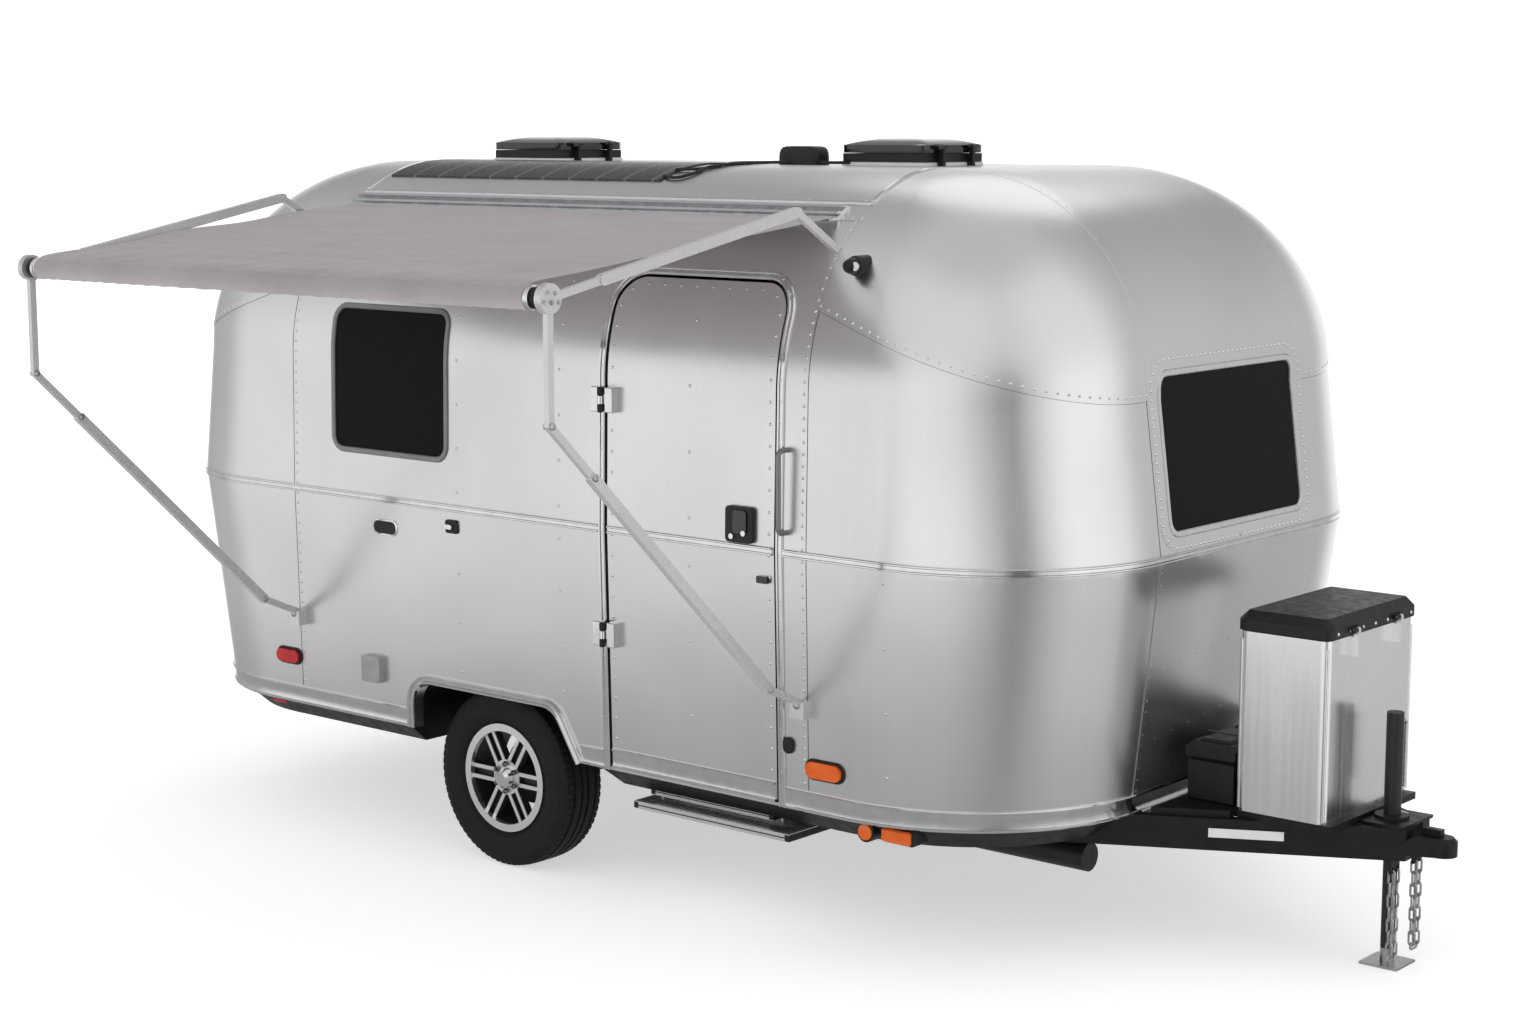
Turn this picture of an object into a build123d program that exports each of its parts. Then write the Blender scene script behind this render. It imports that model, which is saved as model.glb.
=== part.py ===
from build123d import *
import os
from math import cos, radians, sin

# A single-axle travel caravan with a riveted, loaf-shaped aluminium body, parked on its wheels
# and its tongue jack, with a side awning let out. Millimetres, +X to the front, +Y to the left,
# +Z up. The origin is the centre of the coupler's ball socket. The door is on the right (-Y).
RIGHT = -1
LEFT = 1
SIDES = (("right", RIGHT), ("left", LEFT))

# Datum
GROUND_Z = -430.0
AXLE_X = -3320.0

# Body: level sections from the sill to the roof, symmetrical about its middle
BODY_MIDDLE = 250.0
SILL_HEIGHT = 500.0
BELT_HEIGHT = 1385.0
SHOULDER_HEIGHT = 1910.0
SHOULDER_RADIUS = 750.0
ROOF_HALF_WIDTH = 450.0
ROOF_HALF_LENGTH = 1460.0
ROOF_CORNER = 100.0
SHOULDER_CORNER = 630.0
WALL = 45.0
WALL_SECTIONS = (
    # height, half width, half length, corner radius
    (SILL_HEIGHT, 1190.0, 2180.0, 700.0),
    (BELT_HEIGHT, 1210.0, 2280.0, 650.0),
    (SHOULDER_HEIGHT, ROOF_HALF_WIDTH + SHOULDER_RADIUS,
     ROOF_HALF_LENGTH + SHOULDER_RADIUS, SHOULDER_CORNER),
)
SHOULDER_ANGLES = (0.0, 22.5, 45.0, 67.5, 90.0)

# Seams between the body panels
SEAM_REAR = -1050.0
SEAM_FRONT = 1575.0
END_PANEL_HALF = 520.0
ROOF_EDGE_HEIGHT = 2490.0
CORNER_SEAM_HEIGHT = 2200.0
CORNER_SEAM_FALL = 0.33

# Floor, belly and wheel housings
FLOOR = 45.0
BELLY_DEPTH = 80.0
BELLY_INSET = 20.0
BELLY_UNDERCUT = 110.0
ARCH_REAR = -390.0
ARCH_FRONT = 360.0
ARCH_SLANT = 110.0
ARCH_HEIGHT = 684.0
ARCH_CORNER = 90.0
HOUSING_GAP = 60.0
HOUSING_SHEET = 8.0
HOUSING_INNER = 810.0

# Mouldings on the skin
RAIL_PROUD = 10.0
BELT_RAIL_WIDTH = 28.0
SILL_TRIM_WIDTH = 72.0
RIDGE_WIDTH = 10.0
GROOVE_PROUD = 4.0
MOULDINGS = (
    # low edge and width
    (SILL_HEIGHT, SILL_TRIM_WIDTH),
    (BELT_HEIGHT - BELT_RAIL_WIDTH / 2, BELT_RAIL_WIDTH),
)
ARCH_TRIM_WIDTH = 36.0
ARCH_TRIM_PROUD = 14.0

# Entry door, hinged at its rear edge
DOOR_REAR = 661.0
DOOR_FRONT = 1435.0
DOOR_BOTTOM = 521.0
DOOR_TOP = 2282.0
DOOR_CORNER = 110.0
DOOR_GAP = 10.0
DOOR_FRAME_WIDTH = 30.0
DOOR_FRAME_PROUD = 8.0
HINGE_OFFSET = 25.0
HINGE_LEAF = 52.0
HINGE_TALL = 90.0
LEAF_SETBACK = 4.0
HINGE_BARREL = 11.0
HINGE_PIN = 6.0
PIN_CLEARANCE = 0.05
KNUCKLE_GAP = 1.0
HINGE_HEIGHTS = (1005.0, 1850.0)
HANDLE_X = 1290.0
HANDLE_HEIGHT = 1465.0
HANDLE_WIDTH = 120.0
HANDLE_TALL = 125.0
HANDLE_PROUD = 16.0
GRAB_X = 1488.0
GRAB_LOW = 1455.0
GRAB_HIGH = 1735.0
GRAB_REACH = 40.0
GRAB_BAR = 18.0

# Windows, each in a frame that lines its opening
WINDOW_FRAME = 22.0
FRAME_PROUD = 7.0
FRAME_DEEP = 20.0
GLASS_SINK = 2.0
GLASS = 6.0
SIDE_WINDOWS = (
    # side, middle ahead of the axle, middle height, width, tall, corner radius
    (RIGHT, -490.0, 1840.0, 660.0, 580.0, 65.0),
    (LEFT, -490.0, 1840.0, 660.0, 580.0, 65.0),
    (LEFT, 1000.0, 1840.0, 660.0, 580.0, 65.0),
)
END_WINDOWS = (
    # side along X, middle height, width, tall, corner radius
    (1, 1725.0, 920.0, 560.0, 60.0),
    (-1, 1725.0, 920.0, 560.0, 60.0),
)

# Roof fittings
VENT_SIZE = 370.0
VENT_BASE_TALL = 46.0
VENT_LID_EDGE = 26.0
VENT_LID_HOLLOW = 18.0
VENT_LID_CROWN = (
    # rise and slope of each step of the dome
    (14.0, 48.0),
    (12.0, 70.0),
)
VENT_LID_OVERHANG = 8.0
VENT_WALL = 30.0
VENTS = (
    # name, middle ahead of the axle
    ("front", 1100.0),
    ("rear", -750.0),
)
PLATE_THICK = 4.0
PLATE_LOW_HEIGHT = 2544.0
PLATE_INNER = 350.0
PLATE_REAR = -1000.0
PANEL_THICK = 6.0
PANEL_REAR = -960.0
PANEL_FRONT = 500.0
PANEL_OUTER = 744.0
PANEL_INNER = 370.0
ANTENNA_X = 760.0
ANTENNA_Y = -225.0
ANTENNA_LENGTH = 190.0
ANTENNA_WIDTH = 110.0
ANTENNA_TALL = 72.0

# Awning, let out on two folding arms
AWNING_FRONT = 1560.0
AWNING_REAR = -1040.0
AWNING_RAIL_PROUD = 24.0
AWNING_RAIL_FLOOR = 10.0
AWNING_RAIL_GROOVES = (
    # height and width of each groove along the rail
    (2500.0, 14.0),
    (2522.0, 14.0),
)
AWNING_RAIL_REAR = -1015.0
AWNING_RAIL_FRONT = 1480.0
ARM_THICK = 26.0
SLEEVE_WIDE = 34.0
INNER_WIDE = 24.0
INNER_THICK = 20.0
ARM_FOOT = 60.0
ARM_FOOT_PROUD = 30.0
ROLLER_RADIUS = 40.0
ROLLER_Y = -2400.0
ROLLER_HEIGHT = 2305.0
ROLLER_HUB = 46.0
ARM_BASE_HEIGHT = 860.0
ARM_KINK = (-1390.0, 958.0)
ARM_KNEE_HEIGHT = 1925.0
LEG_SLEEVE_END = 0.82
RAFTER_SLEEVE_START = 0.20
RAFTER_TOP = (-1245.0, 2528.0)
STRUT_FOOT = (-1015.0, 2388.0)
FABRIC_THICK = 3.0
FABRIC_MARGIN = 14.0

# Wheels
WHEEL_RADIUS = 345.0
RIM_FACE = 1100.0
RIM_WIDTH = 185.0
RIM_SEAT = 195.0
RIM_LIP = 209.5
RIM_LIP_THICK = 12.0
RIM_WALL = 14.0
TYRE_BULGE = 14.0
TREAD_HALF = 92.0
SPOKE_PAIRS = 6
SPOKE_FACE_INSET = 16.0
SPOKE_THICK = 34.0
SPOKE_WIDTH = 15.0
SPOKE_SPREAD = 21.0
POCKET_DEEP = 20.0
HUB_PAD_RADIUS = 68.0
HUB_CAP_RADIUS = 38.0
HUB_CAP_PROUD = 36.0
HUB_CAP_ROUND = 12.0
CAP_CLEARANCE = 1.0
DRUM_RADIUS = 127.0
DRUM_INNER = 872.0
DRUM_WIDE = 80.0

# Axle
SPINDLE_RADIUS = 20.0
SPINDLE_CLEARANCE = 0.05
SPINDLE_GAP = 24.0
AXLE_ARM_INNER = 800.0
AXLE_ARM_THICK = 34.0
AXLE_TUBE = 76.0
AXLE_TUBE_AHEAD = 150.0

# Tongue, coupler and jack
RAIL_HIGH = 500.0
RAIL_DEEP = 110.0
RAIL_WIDE = 50.0
RAIL_START = 1800.0
RAIL_END = 3230.0
RAIL_START_Y = 815.0
RAIL_END_Y = 62.0
SOCKET_RADIUS = 25.7
SOCKET_DEEP = 25.0
COUPLER_LOW = -20.0
COUPLER_TALL = 62.0
COUPLER_NOSE = 50.0
LEVER_LONG = 70.0
LEVER_WIDE = 26.0
LEVER_TALL = 24.0
JACK_X = 3135.0
JACK_TUBE = 29.0
JACK_LEG = 24.0
JACK_TOP = 870.0
JACK_TUBE_LOW = 360.0
JACK_FOOT = 140.0
JACK_FOOT_THICK = 8.0
CRANK_RADIUS = 7.0
CRANK_HEIGHT = 830.0
CRANK_ARM = 78.0
CRANK_GRIP = 230.0
TONGUE_PLATE = 10.0
TONGUE_PLATE_REAR = 3070.0

# Gas bottles in their cover, and batteries, on a tray between the rails
TRAY_THICK = 24.0
TRAY_REAR = 2475.0
GAS_REAR = 2710.0
GAS_FRONT = 3040.0
GAS_HALF = 305.0
GAS_TOP = 1140.0
GAS_SHEET = 6.0
GAS_CORNER = 28.0
LID_TALL = 66.0
LID_OVERHANG = 10.0
LID_GAP = 5.0
LID_WALL = 8.0
LID_BEVEL = 30.0
BOTTLE_RADIUS = 138.0
BOTTLE_TALL = 470.0
BATTERY_LENGTH = 190.0
BATTERY_WIDTH = 270.0
BATTERY_TALL = 215.0
BATTERY_GAP = 20.0

# Small lid hinges: an ear with a pin on the fixed side, a lug on the lid
LID_PIN = 4.0
LID_EAR_RADIUS = 8.0
LID_EAR_WIDE = 16.0
LID_EAR_GAP = 2.0
LID_AXIS_OUT = 14.0
LID_AXIS_UP = 20.0

# Safety chains, each hung double
CHAIN_X = 3190.0
LINK_WIRE = 8.0
LINK_INNER_LONG = 42.0
LINK_INNER_WIDE = 14.0
LINK_SLACK = 0.3
CHAIN_LINKS = 7
STRAND_HALF = 16.0
LUG_DEEP = 46.0
LUG_THICK = 8.0
LUG_HALF = 32.0
LUG_HOLE = 14.0

# Entry step, stowed under the door
STEP_TREAD = 230.0
STEP_TREAD_THICK = 28.0
STEP_TREADS = (
    # rear and front end, outer edge, drop below the belly
    (720.0, 1300.0, 1050.0, 0.0),
    (690.0, 1420.0, 1110.0, 44.0),
)
STEP_PLATE = 10.0

# Lamps and small fittings on the skin
LAMP_PROUD = 18.0
SIDE_LAMPS = (
    # name, middle ahead of the axle, middle height, length, tall
    ("amber", 1648.0, 655.0, 150.0, 56.0),
    ("red", -1125.0, 690.0, 130.0, 52.0),
)
TAIL_LAMP_Y = 640.0
TAIL_LAMP_HEIGHT = 1120.0
TAIL_LAMP_WIDE = 130.0
TAIL_LAMP_TALL = 230.0
INLET_X = -612.0
INLET_HEIGHT = 705.0
INLET_SIZE = 105.0
INLET_PROUD = 26.0
PORCH_X = 1690.0
PORCH_HEIGHT = 2352.0
PORCH_RADIUS = 34.0
PORCH_PROUD = 60.0

# Stabilisers, folded up under the corners, and the waste hose tube
STABILISER_LENGTH = 520.0
STABILISER_WIDE = 60.0
STABILISER_TALL = 55.0
STABILISER_Y = 700.0
STABILISER_PLACES = (-1480.0, 1500.0)
HOSE_TUBE_RADIUS = 50.0
HOSE_TUBE_Y = -560.0
HOSE_TUBE_REAR = 1560.0
HOSE_TUBE_FRONT = 2300.0
HOSE_CLIP = 32.0
HOSE_CLIP_WIDE = 40.0

REACH = 3000.0


def up(height):
    """Z of a height above the ground."""
    return GROUND_Z + height


def ahead(distance):
    """X of a distance ahead of the axle."""
    return AXLE_X + distance


def save(piece, label):
    """Labels a finished piece and writes it as its own file."""
    piece.label = label
    export_step(piece, f"parts/{label}.step")


def block(x_low, x_high, y_low, y_high, z_low, z_high):
    """A plain block between two corners."""
    with BuildPart() as piece:
        with Locations(((x_low + x_high) / 2, (y_low + y_high) / 2, (z_low + z_high) / 2)):
            Box(x_high - x_low, y_high - y_low, z_high - z_low)
    return piece.part


def body_form(grow):
    """The body's closed form from sill to roof, its surface moved out by grow."""
    radius = SHOULDER_RADIUS + grow
    walls = [(h, w + grow, n + grow, c + grow) for h, w, n, c in WALL_SECTIONS]
    with BuildPart() as form:
        for lower, upper in zip(walls, walls[1:]):
            for height, half_width, half_length, corner in (lower, upper):
                with BuildSketch(Plane((ahead(BODY_MIDDLE), 0, up(height)))):
                    RectangleRounded(2 * half_length, 2 * half_width, corner)
            loft(ruled=True)
        for angle in SHOULDER_ANGLES:
            reach = radius * cos(radians(angle))
            rise = radius * sin(radians(angle))
            corner = ROOF_CORNER + (SHOULDER_CORNER - ROOF_CORNER) * cos(radians(angle)) + grow
            with BuildSketch(Plane((ahead(BODY_MIDDLE), 0, up(SHOULDER_HEIGHT) + rise))):
                RectangleRounded(2 * (ROOF_HALF_LENGTH + reach), 2 * (ROOF_HALF_WIDTH + reach), corner)
        loft()
    return form.part


def skin_band(inner, outer):
    """A layer that follows the skin, from inner to outer millimetres outside it."""
    with BuildPart() as band:
        add(body_form(outer))
        add(body_form(inner), mode=Mode.SUBTRACT)
    return band.part


def wall_half_width(height):
    """Half width of the side walls at a height between the belt and the shoulder."""
    low, wide = WALL_SECTIONS[1][:2]
    high, narrow = WALL_SECTIONS[2][:2]
    return wide + (narrow - wide) * (height - low) / (high - low)


def door_outline(grow):
    """The door's outline seen from the side, with rounded top corners."""
    with BuildSketch(Plane.XZ) as outline:
        with Locations((ahead((DOOR_REAR + DOOR_FRONT) / 2), up((DOOR_BOTTOM + DOOR_TOP) / 2))):
            Rectangle(DOOR_FRONT - DOOR_REAR + 2 * grow, DOOR_TOP - DOOR_BOTTOM + 2 * grow)
        fillet(outline.vertices().group_by(Axis.Y)[-1], DOOR_CORNER + grow)
    return outline.sketch


def arch_outline(grow, low):
    """The wheel arch seen from the side: upright at the rear, slanting out at the front."""
    high = ARCH_HEIGHT + grow
    slant = ARCH_SLANT * (high - low) / (ARCH_HEIGHT - SILL_HEIGHT)
    with BuildSketch(Plane.XZ) as outline:
        with BuildLine():
            Polyline(
                (ahead(ARCH_REAR - grow), up(low)),
                (ahead(ARCH_REAR - grow), up(high)),
                (ahead(ARCH_FRONT + grow), up(high)),
                (ahead(ARCH_FRONT + grow + slant), up(low)),
                close=True,
            )
        make_face()
        fillet(outline.vertices().group_by(Axis.Y)[-1], ARCH_CORNER + grow)
    return outline.sketch


def side_outline(middle, height, width, tall, corner):
    """A rounded rectangle seen from the side."""
    with BuildSketch(Plane.XZ) as outline:
        with Locations((ahead(middle), up(height))):
            RectangleRounded(width, tall, corner)
    return outline.sketch


def end_outline(across, height, width, tall, corner):
    """A rounded rectangle seen from the front, in the body's middle plane."""
    with BuildSketch(Plane((ahead(BODY_MIDDLE), 0, 0), x_dir=(0, 1, 0), z_dir=(1, 0, 0))) as outline:
        with Locations((across, up(height))):
            RectangleRounded(width, tall, corner)
    return outline.sketch


def side_prism(outline, side):
    """A side outline carried from the middle plane out past the skin on one side."""
    with BuildPart() as prism:
        extrude(outline, amount=-side * REACH)
    return prism.part


def end_prism(outline, end):
    """An end outline carried from the body's middle out past the skin at one end."""
    with BuildPart() as prism:
        extrude(outline, amount=end * REACH)
    return prism.part


def wheel_well(side, grow, low, inner):
    """The arch's outline carried from an inner plane out past the skin on one side."""
    y_low, y_high = sorted((side * inner, side * REACH))
    with BuildPart() as well:
        add(side_prism(arch_outline(grow, low), side))
        add(block(-3 * REACH, REACH, y_low, y_high, -REACH, REACH), mode=Mode.INTERSECT)
    return well.part


os.makedirs("parts", exist_ok=True)

OUTER = body_form(0.0)
INNER = body_form(-WALL)
RAIL_BAND = skin_band(0.0, RAIL_PROUD)
GROOVE_BAND = skin_band(GROOVE_PROUD, RAIL_PROUD)
FRAME_BAND = skin_band(0.0, DOOR_FRAME_PROUD)
DOOR_OPENING = side_prism(door_outline(DOOR_GAP), RIGHT)
DOOR_SURROUND = side_prism(door_outline(DOOR_GAP + DOOR_FRAME_WIDTH), RIGHT)
DOOR_LEAF = side_prism(door_outline(0.0), RIGHT)
ROOF_HEIGHT = SHOULDER_HEIGHT + SHOULDER_RADIUS
BELLY_LOW = SILL_HEIGHT - BELLY_DEPTH

with BuildPart() as shell:
    add(OUTER)
    add(INNER, mode=Mode.SUBTRACT)
SHELL = shell.part

# Side walls, with the door, the windows and the wheel arches cut out
for side_name, side in SIDES:
    y_low, y_high = sorted((0.0, side * REACH))
    with BuildPart() as side_wall:
        add(SHELL)
        add(block(ahead(SEAM_REAR), ahead(SEAM_FRONT), y_low, y_high, up(0), up(ROOF_EDGE_HEIGHT)),
            mode=Mode.INTERSECT)
        add(side_prism(arch_outline(0.0, BELLY_LOW), side), mode=Mode.SUBTRACT)
        for window_side, middle, height, width, tall, corner in SIDE_WINDOWS:
            if window_side == side:
                add(side_prism(side_outline(middle, height, width, tall, corner), side), mode=Mode.SUBTRACT)
        if side == RIGHT:
            add(DOOR_OPENING, mode=Mode.SUBTRACT)
    save(side_wall.part, f"side_wall_{side_name}")

# Roof sheet between the two side seams
with BuildPart() as roof_panel:
    add(SHELL)
    add(block(ahead(SEAM_REAR), ahead(SEAM_FRONT), -REACH, REACH, up(ROOF_EDGE_HEIGHT), REACH),
        mode=Mode.INTERSECT)
    for vent_name, middle in VENTS:
        with Locations((ahead(middle), 0, up(ROOF_HEIGHT))):
            Box(VENT_SIZE - 2 * VENT_WALL, VENT_SIZE - 2 * VENT_WALL, 4 * WALL, mode=Mode.SUBTRACT)
save(roof_panel.part, "roof_panel")

# End panels over the front and the rear, each with a window
ENDS = (
    # name, direction, x of the seam to the side walls
    ("front", 1, ahead(SEAM_FRONT)),
    ("rear", -1, ahead(SEAM_REAR)),
)
for end_name, end, seam_x in ENDS:
    x_low, x_high = sorted((seam_x, seam_x + end * REACH))
    with BuildPart() as end_panel:
        add(SHELL)
        add(block(x_low, x_high, -END_PANEL_HALF, END_PANEL_HALF, up(0), REACH),
            mode=Mode.INTERSECT)
        for window_end, height, width, tall, corner in END_WINDOWS:
            if window_end == end:
                add(end_prism(end_outline(0.0, height, width, tall, corner), end), mode=Mode.SUBTRACT)
    save(end_panel.part, f"end_panel_{end_name}")


def corner_panel(side, end, seam_x, keep):
    """The skin between a side wall and an end panel, below or above a seam that falls outward."""
    x_low, x_high = sorted((seam_x, seam_x + end * REACH))
    y_low, y_high = sorted((side * END_PANEL_HALF, side * REACH))
    seam = Plane((seam_x, 0, up(CORNER_SEAM_HEIGHT)), z_dir=(end * CORNER_SEAM_FALL, 0, 1))
    with BuildPart() as panel:
        add(SHELL)
        add(block(x_low, x_high, y_low, y_high, up(0), REACH), mode=Mode.INTERSECT)
        split(bisect_by=seam, keep=keep)
    return panel.part


# Corner panels, a lower and an upper one at each corner
for side_name, side in SIDES:
    for tier, keep in (("lower", Keep.BOTTOM), ("upper", Keep.TOP)):
        with BuildPart() as corner_panels:
            for end_name, end, seam_x in ENDS:
                add(corner_panel(side, end, seam_x, keep))
        save(corner_panels.part, f"corners_{side_name}_{tier}")

# Wheel housings inside the cabin, standing on the floor's edge
HOUSING_GROW = HOUSING_GAP + HOUSING_SHEET
HOUSING_BACK = HOUSING_INNER - HOUSING_SHEET
with BuildPart() as wheel_housings:
    for side_name, side in SIDES:
        add(wheel_well(side, HOUSING_GROW, SILL_HEIGHT, HOUSING_BACK))
        add(wheel_well(side, HOUSING_GAP, BELLY_LOW, HOUSING_INNER), mode=Mode.SUBTRACT)
    add(INNER, mode=Mode.INTERSECT)
save(wheel_housings.part, "wheel_housings")

# Floor between the walls, cut round the wheel housings
with BuildPart() as floor_deck:
    add(INNER)
    add(block(-3 * REACH, REACH, -REACH, REACH, up(SILL_HEIGHT), up(SILL_HEIGHT + FLOOR)),
        mode=Mode.INTERSECT)
    for side_name, side in SIDES:
        add(wheel_well(side, HOUSING_GROW, SILL_HEIGHT, HOUSING_BACK), mode=Mode.SUBTRACT)
save(floor_deck.part, "floor_deck")


def rail_y(distance):
    """How far a tongue rail's middle is from the centre line, by distance ahead of the axle."""
    return RAIL_END_Y + (RAIL_START_Y - RAIL_END_Y) * (RAIL_END - distance) / (RAIL_END - RAIL_START)


def tongue_rail(side):
    """One rail of the A-frame in plan, carried through its depth."""
    with BuildPart() as rail:
        with BuildSketch(Plane.XY.offset(up(RAIL_HIGH - RAIL_DEEP))):
            with BuildLine():
                Polyline(
                    (ahead(RAIL_START), side * (RAIL_START_Y - RAIL_WIDE / 2)),
                    (ahead(RAIL_START), side * (RAIL_START_Y + RAIL_WIDE / 2)),
                    (ahead(RAIL_END), side * (RAIL_END_Y + RAIL_WIDE / 2)),
                    (ahead(RAIL_END), side * (RAIL_END_Y - RAIL_WIDE / 2)),
                    close=True,
                )
            make_face()
        extrude(amount=RAIL_DEEP)
    return rail.part


# Belly pan under the floor, drawn in towards its bottom and open at the wheels
with BuildPart() as belly_pan:
    sill_half_width, sill_half_length, sill_corner = WALL_SECTIONS[0][1:]
    for height, inset in ((SILL_HEIGHT, BELLY_INSET), (BELLY_LOW, BELLY_UNDERCUT)):
        with BuildSketch(Plane((ahead(BODY_MIDDLE), 0, up(height)))):
            RectangleRounded(2 * (sill_half_length - inset), 2 * (sill_half_width - inset),
                             sill_corner - inset)
    loft(ruled=True)
    for side_name, side in SIDES:
        add(wheel_well(side, HOUSING_GAP, BELLY_LOW - BELLY_DEPTH, HOUSING_INNER), mode=Mode.SUBTRACT)
        add(tongue_rail(side), mode=Mode.SUBTRACT)
save(belly_pan.part, "belly_pan")

# Tongue: two rails that meet ahead of the body, a tray and a jack plate across them, chain lugs
RAIL_LOW = up(RAIL_HIGH - RAIL_DEEP)
CHAIN_Y = rail_y(CHAIN_X)
LUG_HOLE_Z = RAIL_LOW - LUG_DEEP + LUG_HOLE
PLATE_TOP = up(RAIL_HIGH) + TONGUE_PLATE
TRAY_TOP = up(RAIL_HIGH) + TRAY_THICK
with BuildPart() as tongue_frame:
    for side_name, side in SIDES:
        add(tongue_rail(side))
        with Locations((ahead(CHAIN_X), side * CHAIN_Y, RAIL_LOW)):
            Box(LUG_THICK, 2 * LUG_HALF, LUG_DEEP, align=(Align.CENTER, Align.CENTER, Align.MAX))
        for strand in (-STRAND_HALF, STRAND_HALF):
            with Locations((ahead(CHAIN_X), side * CHAIN_Y + strand, LUG_HOLE_Z)):
                Box(2 * LUG_THICK, LUG_HOLE, LUG_HOLE, mode=Mode.SUBTRACT)
    with BuildSketch(Plane.XY.offset(up(RAIL_HIGH))):
        with BuildLine():
            Polyline(
                (ahead(TRAY_REAR), 0),
                (ahead(TRAY_REAR), rail_y(TRAY_REAR)),
                (ahead(GAS_REAR), rail_y(GAS_REAR)),
                (ahead(GAS_REAR), GAS_HALF),
                (ahead(TONGUE_PLATE_REAR), GAS_HALF),
                (ahead(TONGUE_PLATE_REAR), 0),
            )
            mirror(about=Plane.XZ)
        make_face()
    extrude(amount=TRAY_THICK)
    plate_half = RAIL_END_Y + RAIL_WIDE
    add(block(ahead(TONGUE_PLATE_REAR), ahead(RAIL_END), -plate_half, plate_half,
              up(RAIL_HIGH), PLATE_TOP))
    with Locations((ahead(JACK_X), 0, up(RAIL_HIGH))):
        Cylinder(JACK_TUBE, 4 * TONGUE_PLATE, mode=Mode.SUBTRACT)
save(tongue_frame.part, "tongue_frame")

# Coupler with its ball socket, a domed cup open downwards, and its latch lever on top
with BuildPart() as coupler:
    tail_x = ahead(RAIL_END)
    tail_half = RAIL_END_Y + RAIL_WIDE / 2
    with BuildSketch(Plane.XY.offset(COUPLER_LOW)):
        with BuildLine():
            Polyline((0, COUPLER_NOSE), (tail_x, tail_half), (tail_x, -tail_half), (0, -COUPLER_NOSE))
            ThreePointArc((0, -COUPLER_NOSE), (COUPLER_NOSE, 0), (0, COUPLER_NOSE))
        make_face()
    extrude(amount=COUPLER_TALL)
    chamfer(coupler.faces().sort_by(Axis.Z)[-1].edges(), COUPLER_TALL / 5)
    with Locations((0, 0, COUPLER_LOW)):
        Cylinder(SOCKET_RADIUS, SOCKET_DEEP, align=(Align.CENTER, Align.CENTER, Align.MIN),
                 mode=Mode.SUBTRACT)
    with Locations((0, 0, COUPLER_LOW + SOCKET_DEEP)):
        Sphere(SOCKET_RADIUS, mode=Mode.SUBTRACT)
    with Locations((0, 0, COUPLER_LOW + COUPLER_TALL)):
        Box(LEVER_LONG, LEVER_WIDE, LEVER_TALL, align=(Align.MAX, Align.CENTER, Align.MIN))
save(coupler.part, "coupler")


def chain_link(place, across, lying):
    """One chain link with its flat side along X (across) or Y, upright or lying on its side."""
    flat_along = (1, 0, 0) if across else (0, 1, 0)
    facing = (0, -1, 0) if across else (1, 0, 0)
    half_long = LINK_INNER_LONG / 2 + LINK_WIRE
    half_wide = LINK_INNER_WIDE / 2 + LINK_WIRE
    turn = 90 if lying else 0
    with BuildPart() as link:
        with BuildSketch(Plane(place, x_dir=flat_along, z_dir=facing)) as link_face:
            Rectangle(2 * half_wide, 2 * half_long, rotation=turn)
            chamfer(link_face.vertices(), LINK_WIRE)
            Rectangle(LINK_INNER_WIDE, LINK_INNER_LONG, rotation=turn, mode=Mode.SUBTRACT)
        extrude(amount=LINK_WIRE / 2, both=True)
    return link.part


# Safety chains: strands of links crossed by turns, joined in pairs by a link across the bottom
with BuildPart() as safety_chains:
    link_pitch = LINK_INNER_LONG - LINK_SLACK
    top = LUG_HOLE_Z - LUG_HOLE / 2 + LINK_SLACK - LINK_INNER_LONG / 2
    bottom = top - (CHAIN_LINKS - 1) * link_pitch - (LINK_INNER_LONG + LINK_INNER_WIDE) / 2 + LINK_SLACK
    for side_name, side in SIDES:
        for strand in (-STRAND_HALF, STRAND_HALF):
            for number in range(CHAIN_LINKS):
                place = (ahead(CHAIN_X), side * CHAIN_Y + strand, top - number * link_pitch)
                add(chain_link(place, number % 2 == 0, False))
        add(chain_link((ahead(CHAIN_X), side * CHAIN_Y, bottom), False, True))
save(safety_chains.part, "safety_chains")

# Jack: a tube held by the plate with its crank at its side, and a leg with a foot plate on the ground
ON_BASE = (Align.CENTER, Align.CENTER, Align.MIN)
with BuildPart() as jack_tube:
    tube_tall = JACK_TOP - JACK_TUBE_LOW
    with Locations((ahead(JACK_X), 0, up(JACK_TUBE_LOW))):
        Cylinder(JACK_TUBE, tube_tall, align=ON_BASE)
    with BuildSketch(Plane((ahead(JACK_X), 0, PLATE_TOP))):
        Circle(2 * JACK_TUBE)
    extrude(amount=TONGUE_PLATE)
    with Locations((ahead(JACK_X), 0, up(JACK_TUBE_LOW))):
        Cylinder(JACK_LEG, tube_tall - TONGUE_PLATE, align=ON_BASE, mode=Mode.SUBTRACT)
    crank_start = (ahead(JACK_X), JACK_LEG + CRANK_RADIUS / 2, up(CRANK_HEIGHT))
    with BuildLine():
        FilletPolyline(
            crank_start,
            (ahead(JACK_X), CRANK_ARM, up(CRANK_HEIGHT)),
            (ahead(JACK_X), CRANK_ARM, up(CRANK_HEIGHT - CRANK_GRIP)),
            radius=2 * CRANK_RADIUS,
        )
    with BuildSketch(Plane(crank_start, z_dir=(0, 1, 0))):
        Circle(CRANK_RADIUS)
    sweep()
save(jack_tube.part, "jack_tube")

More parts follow.
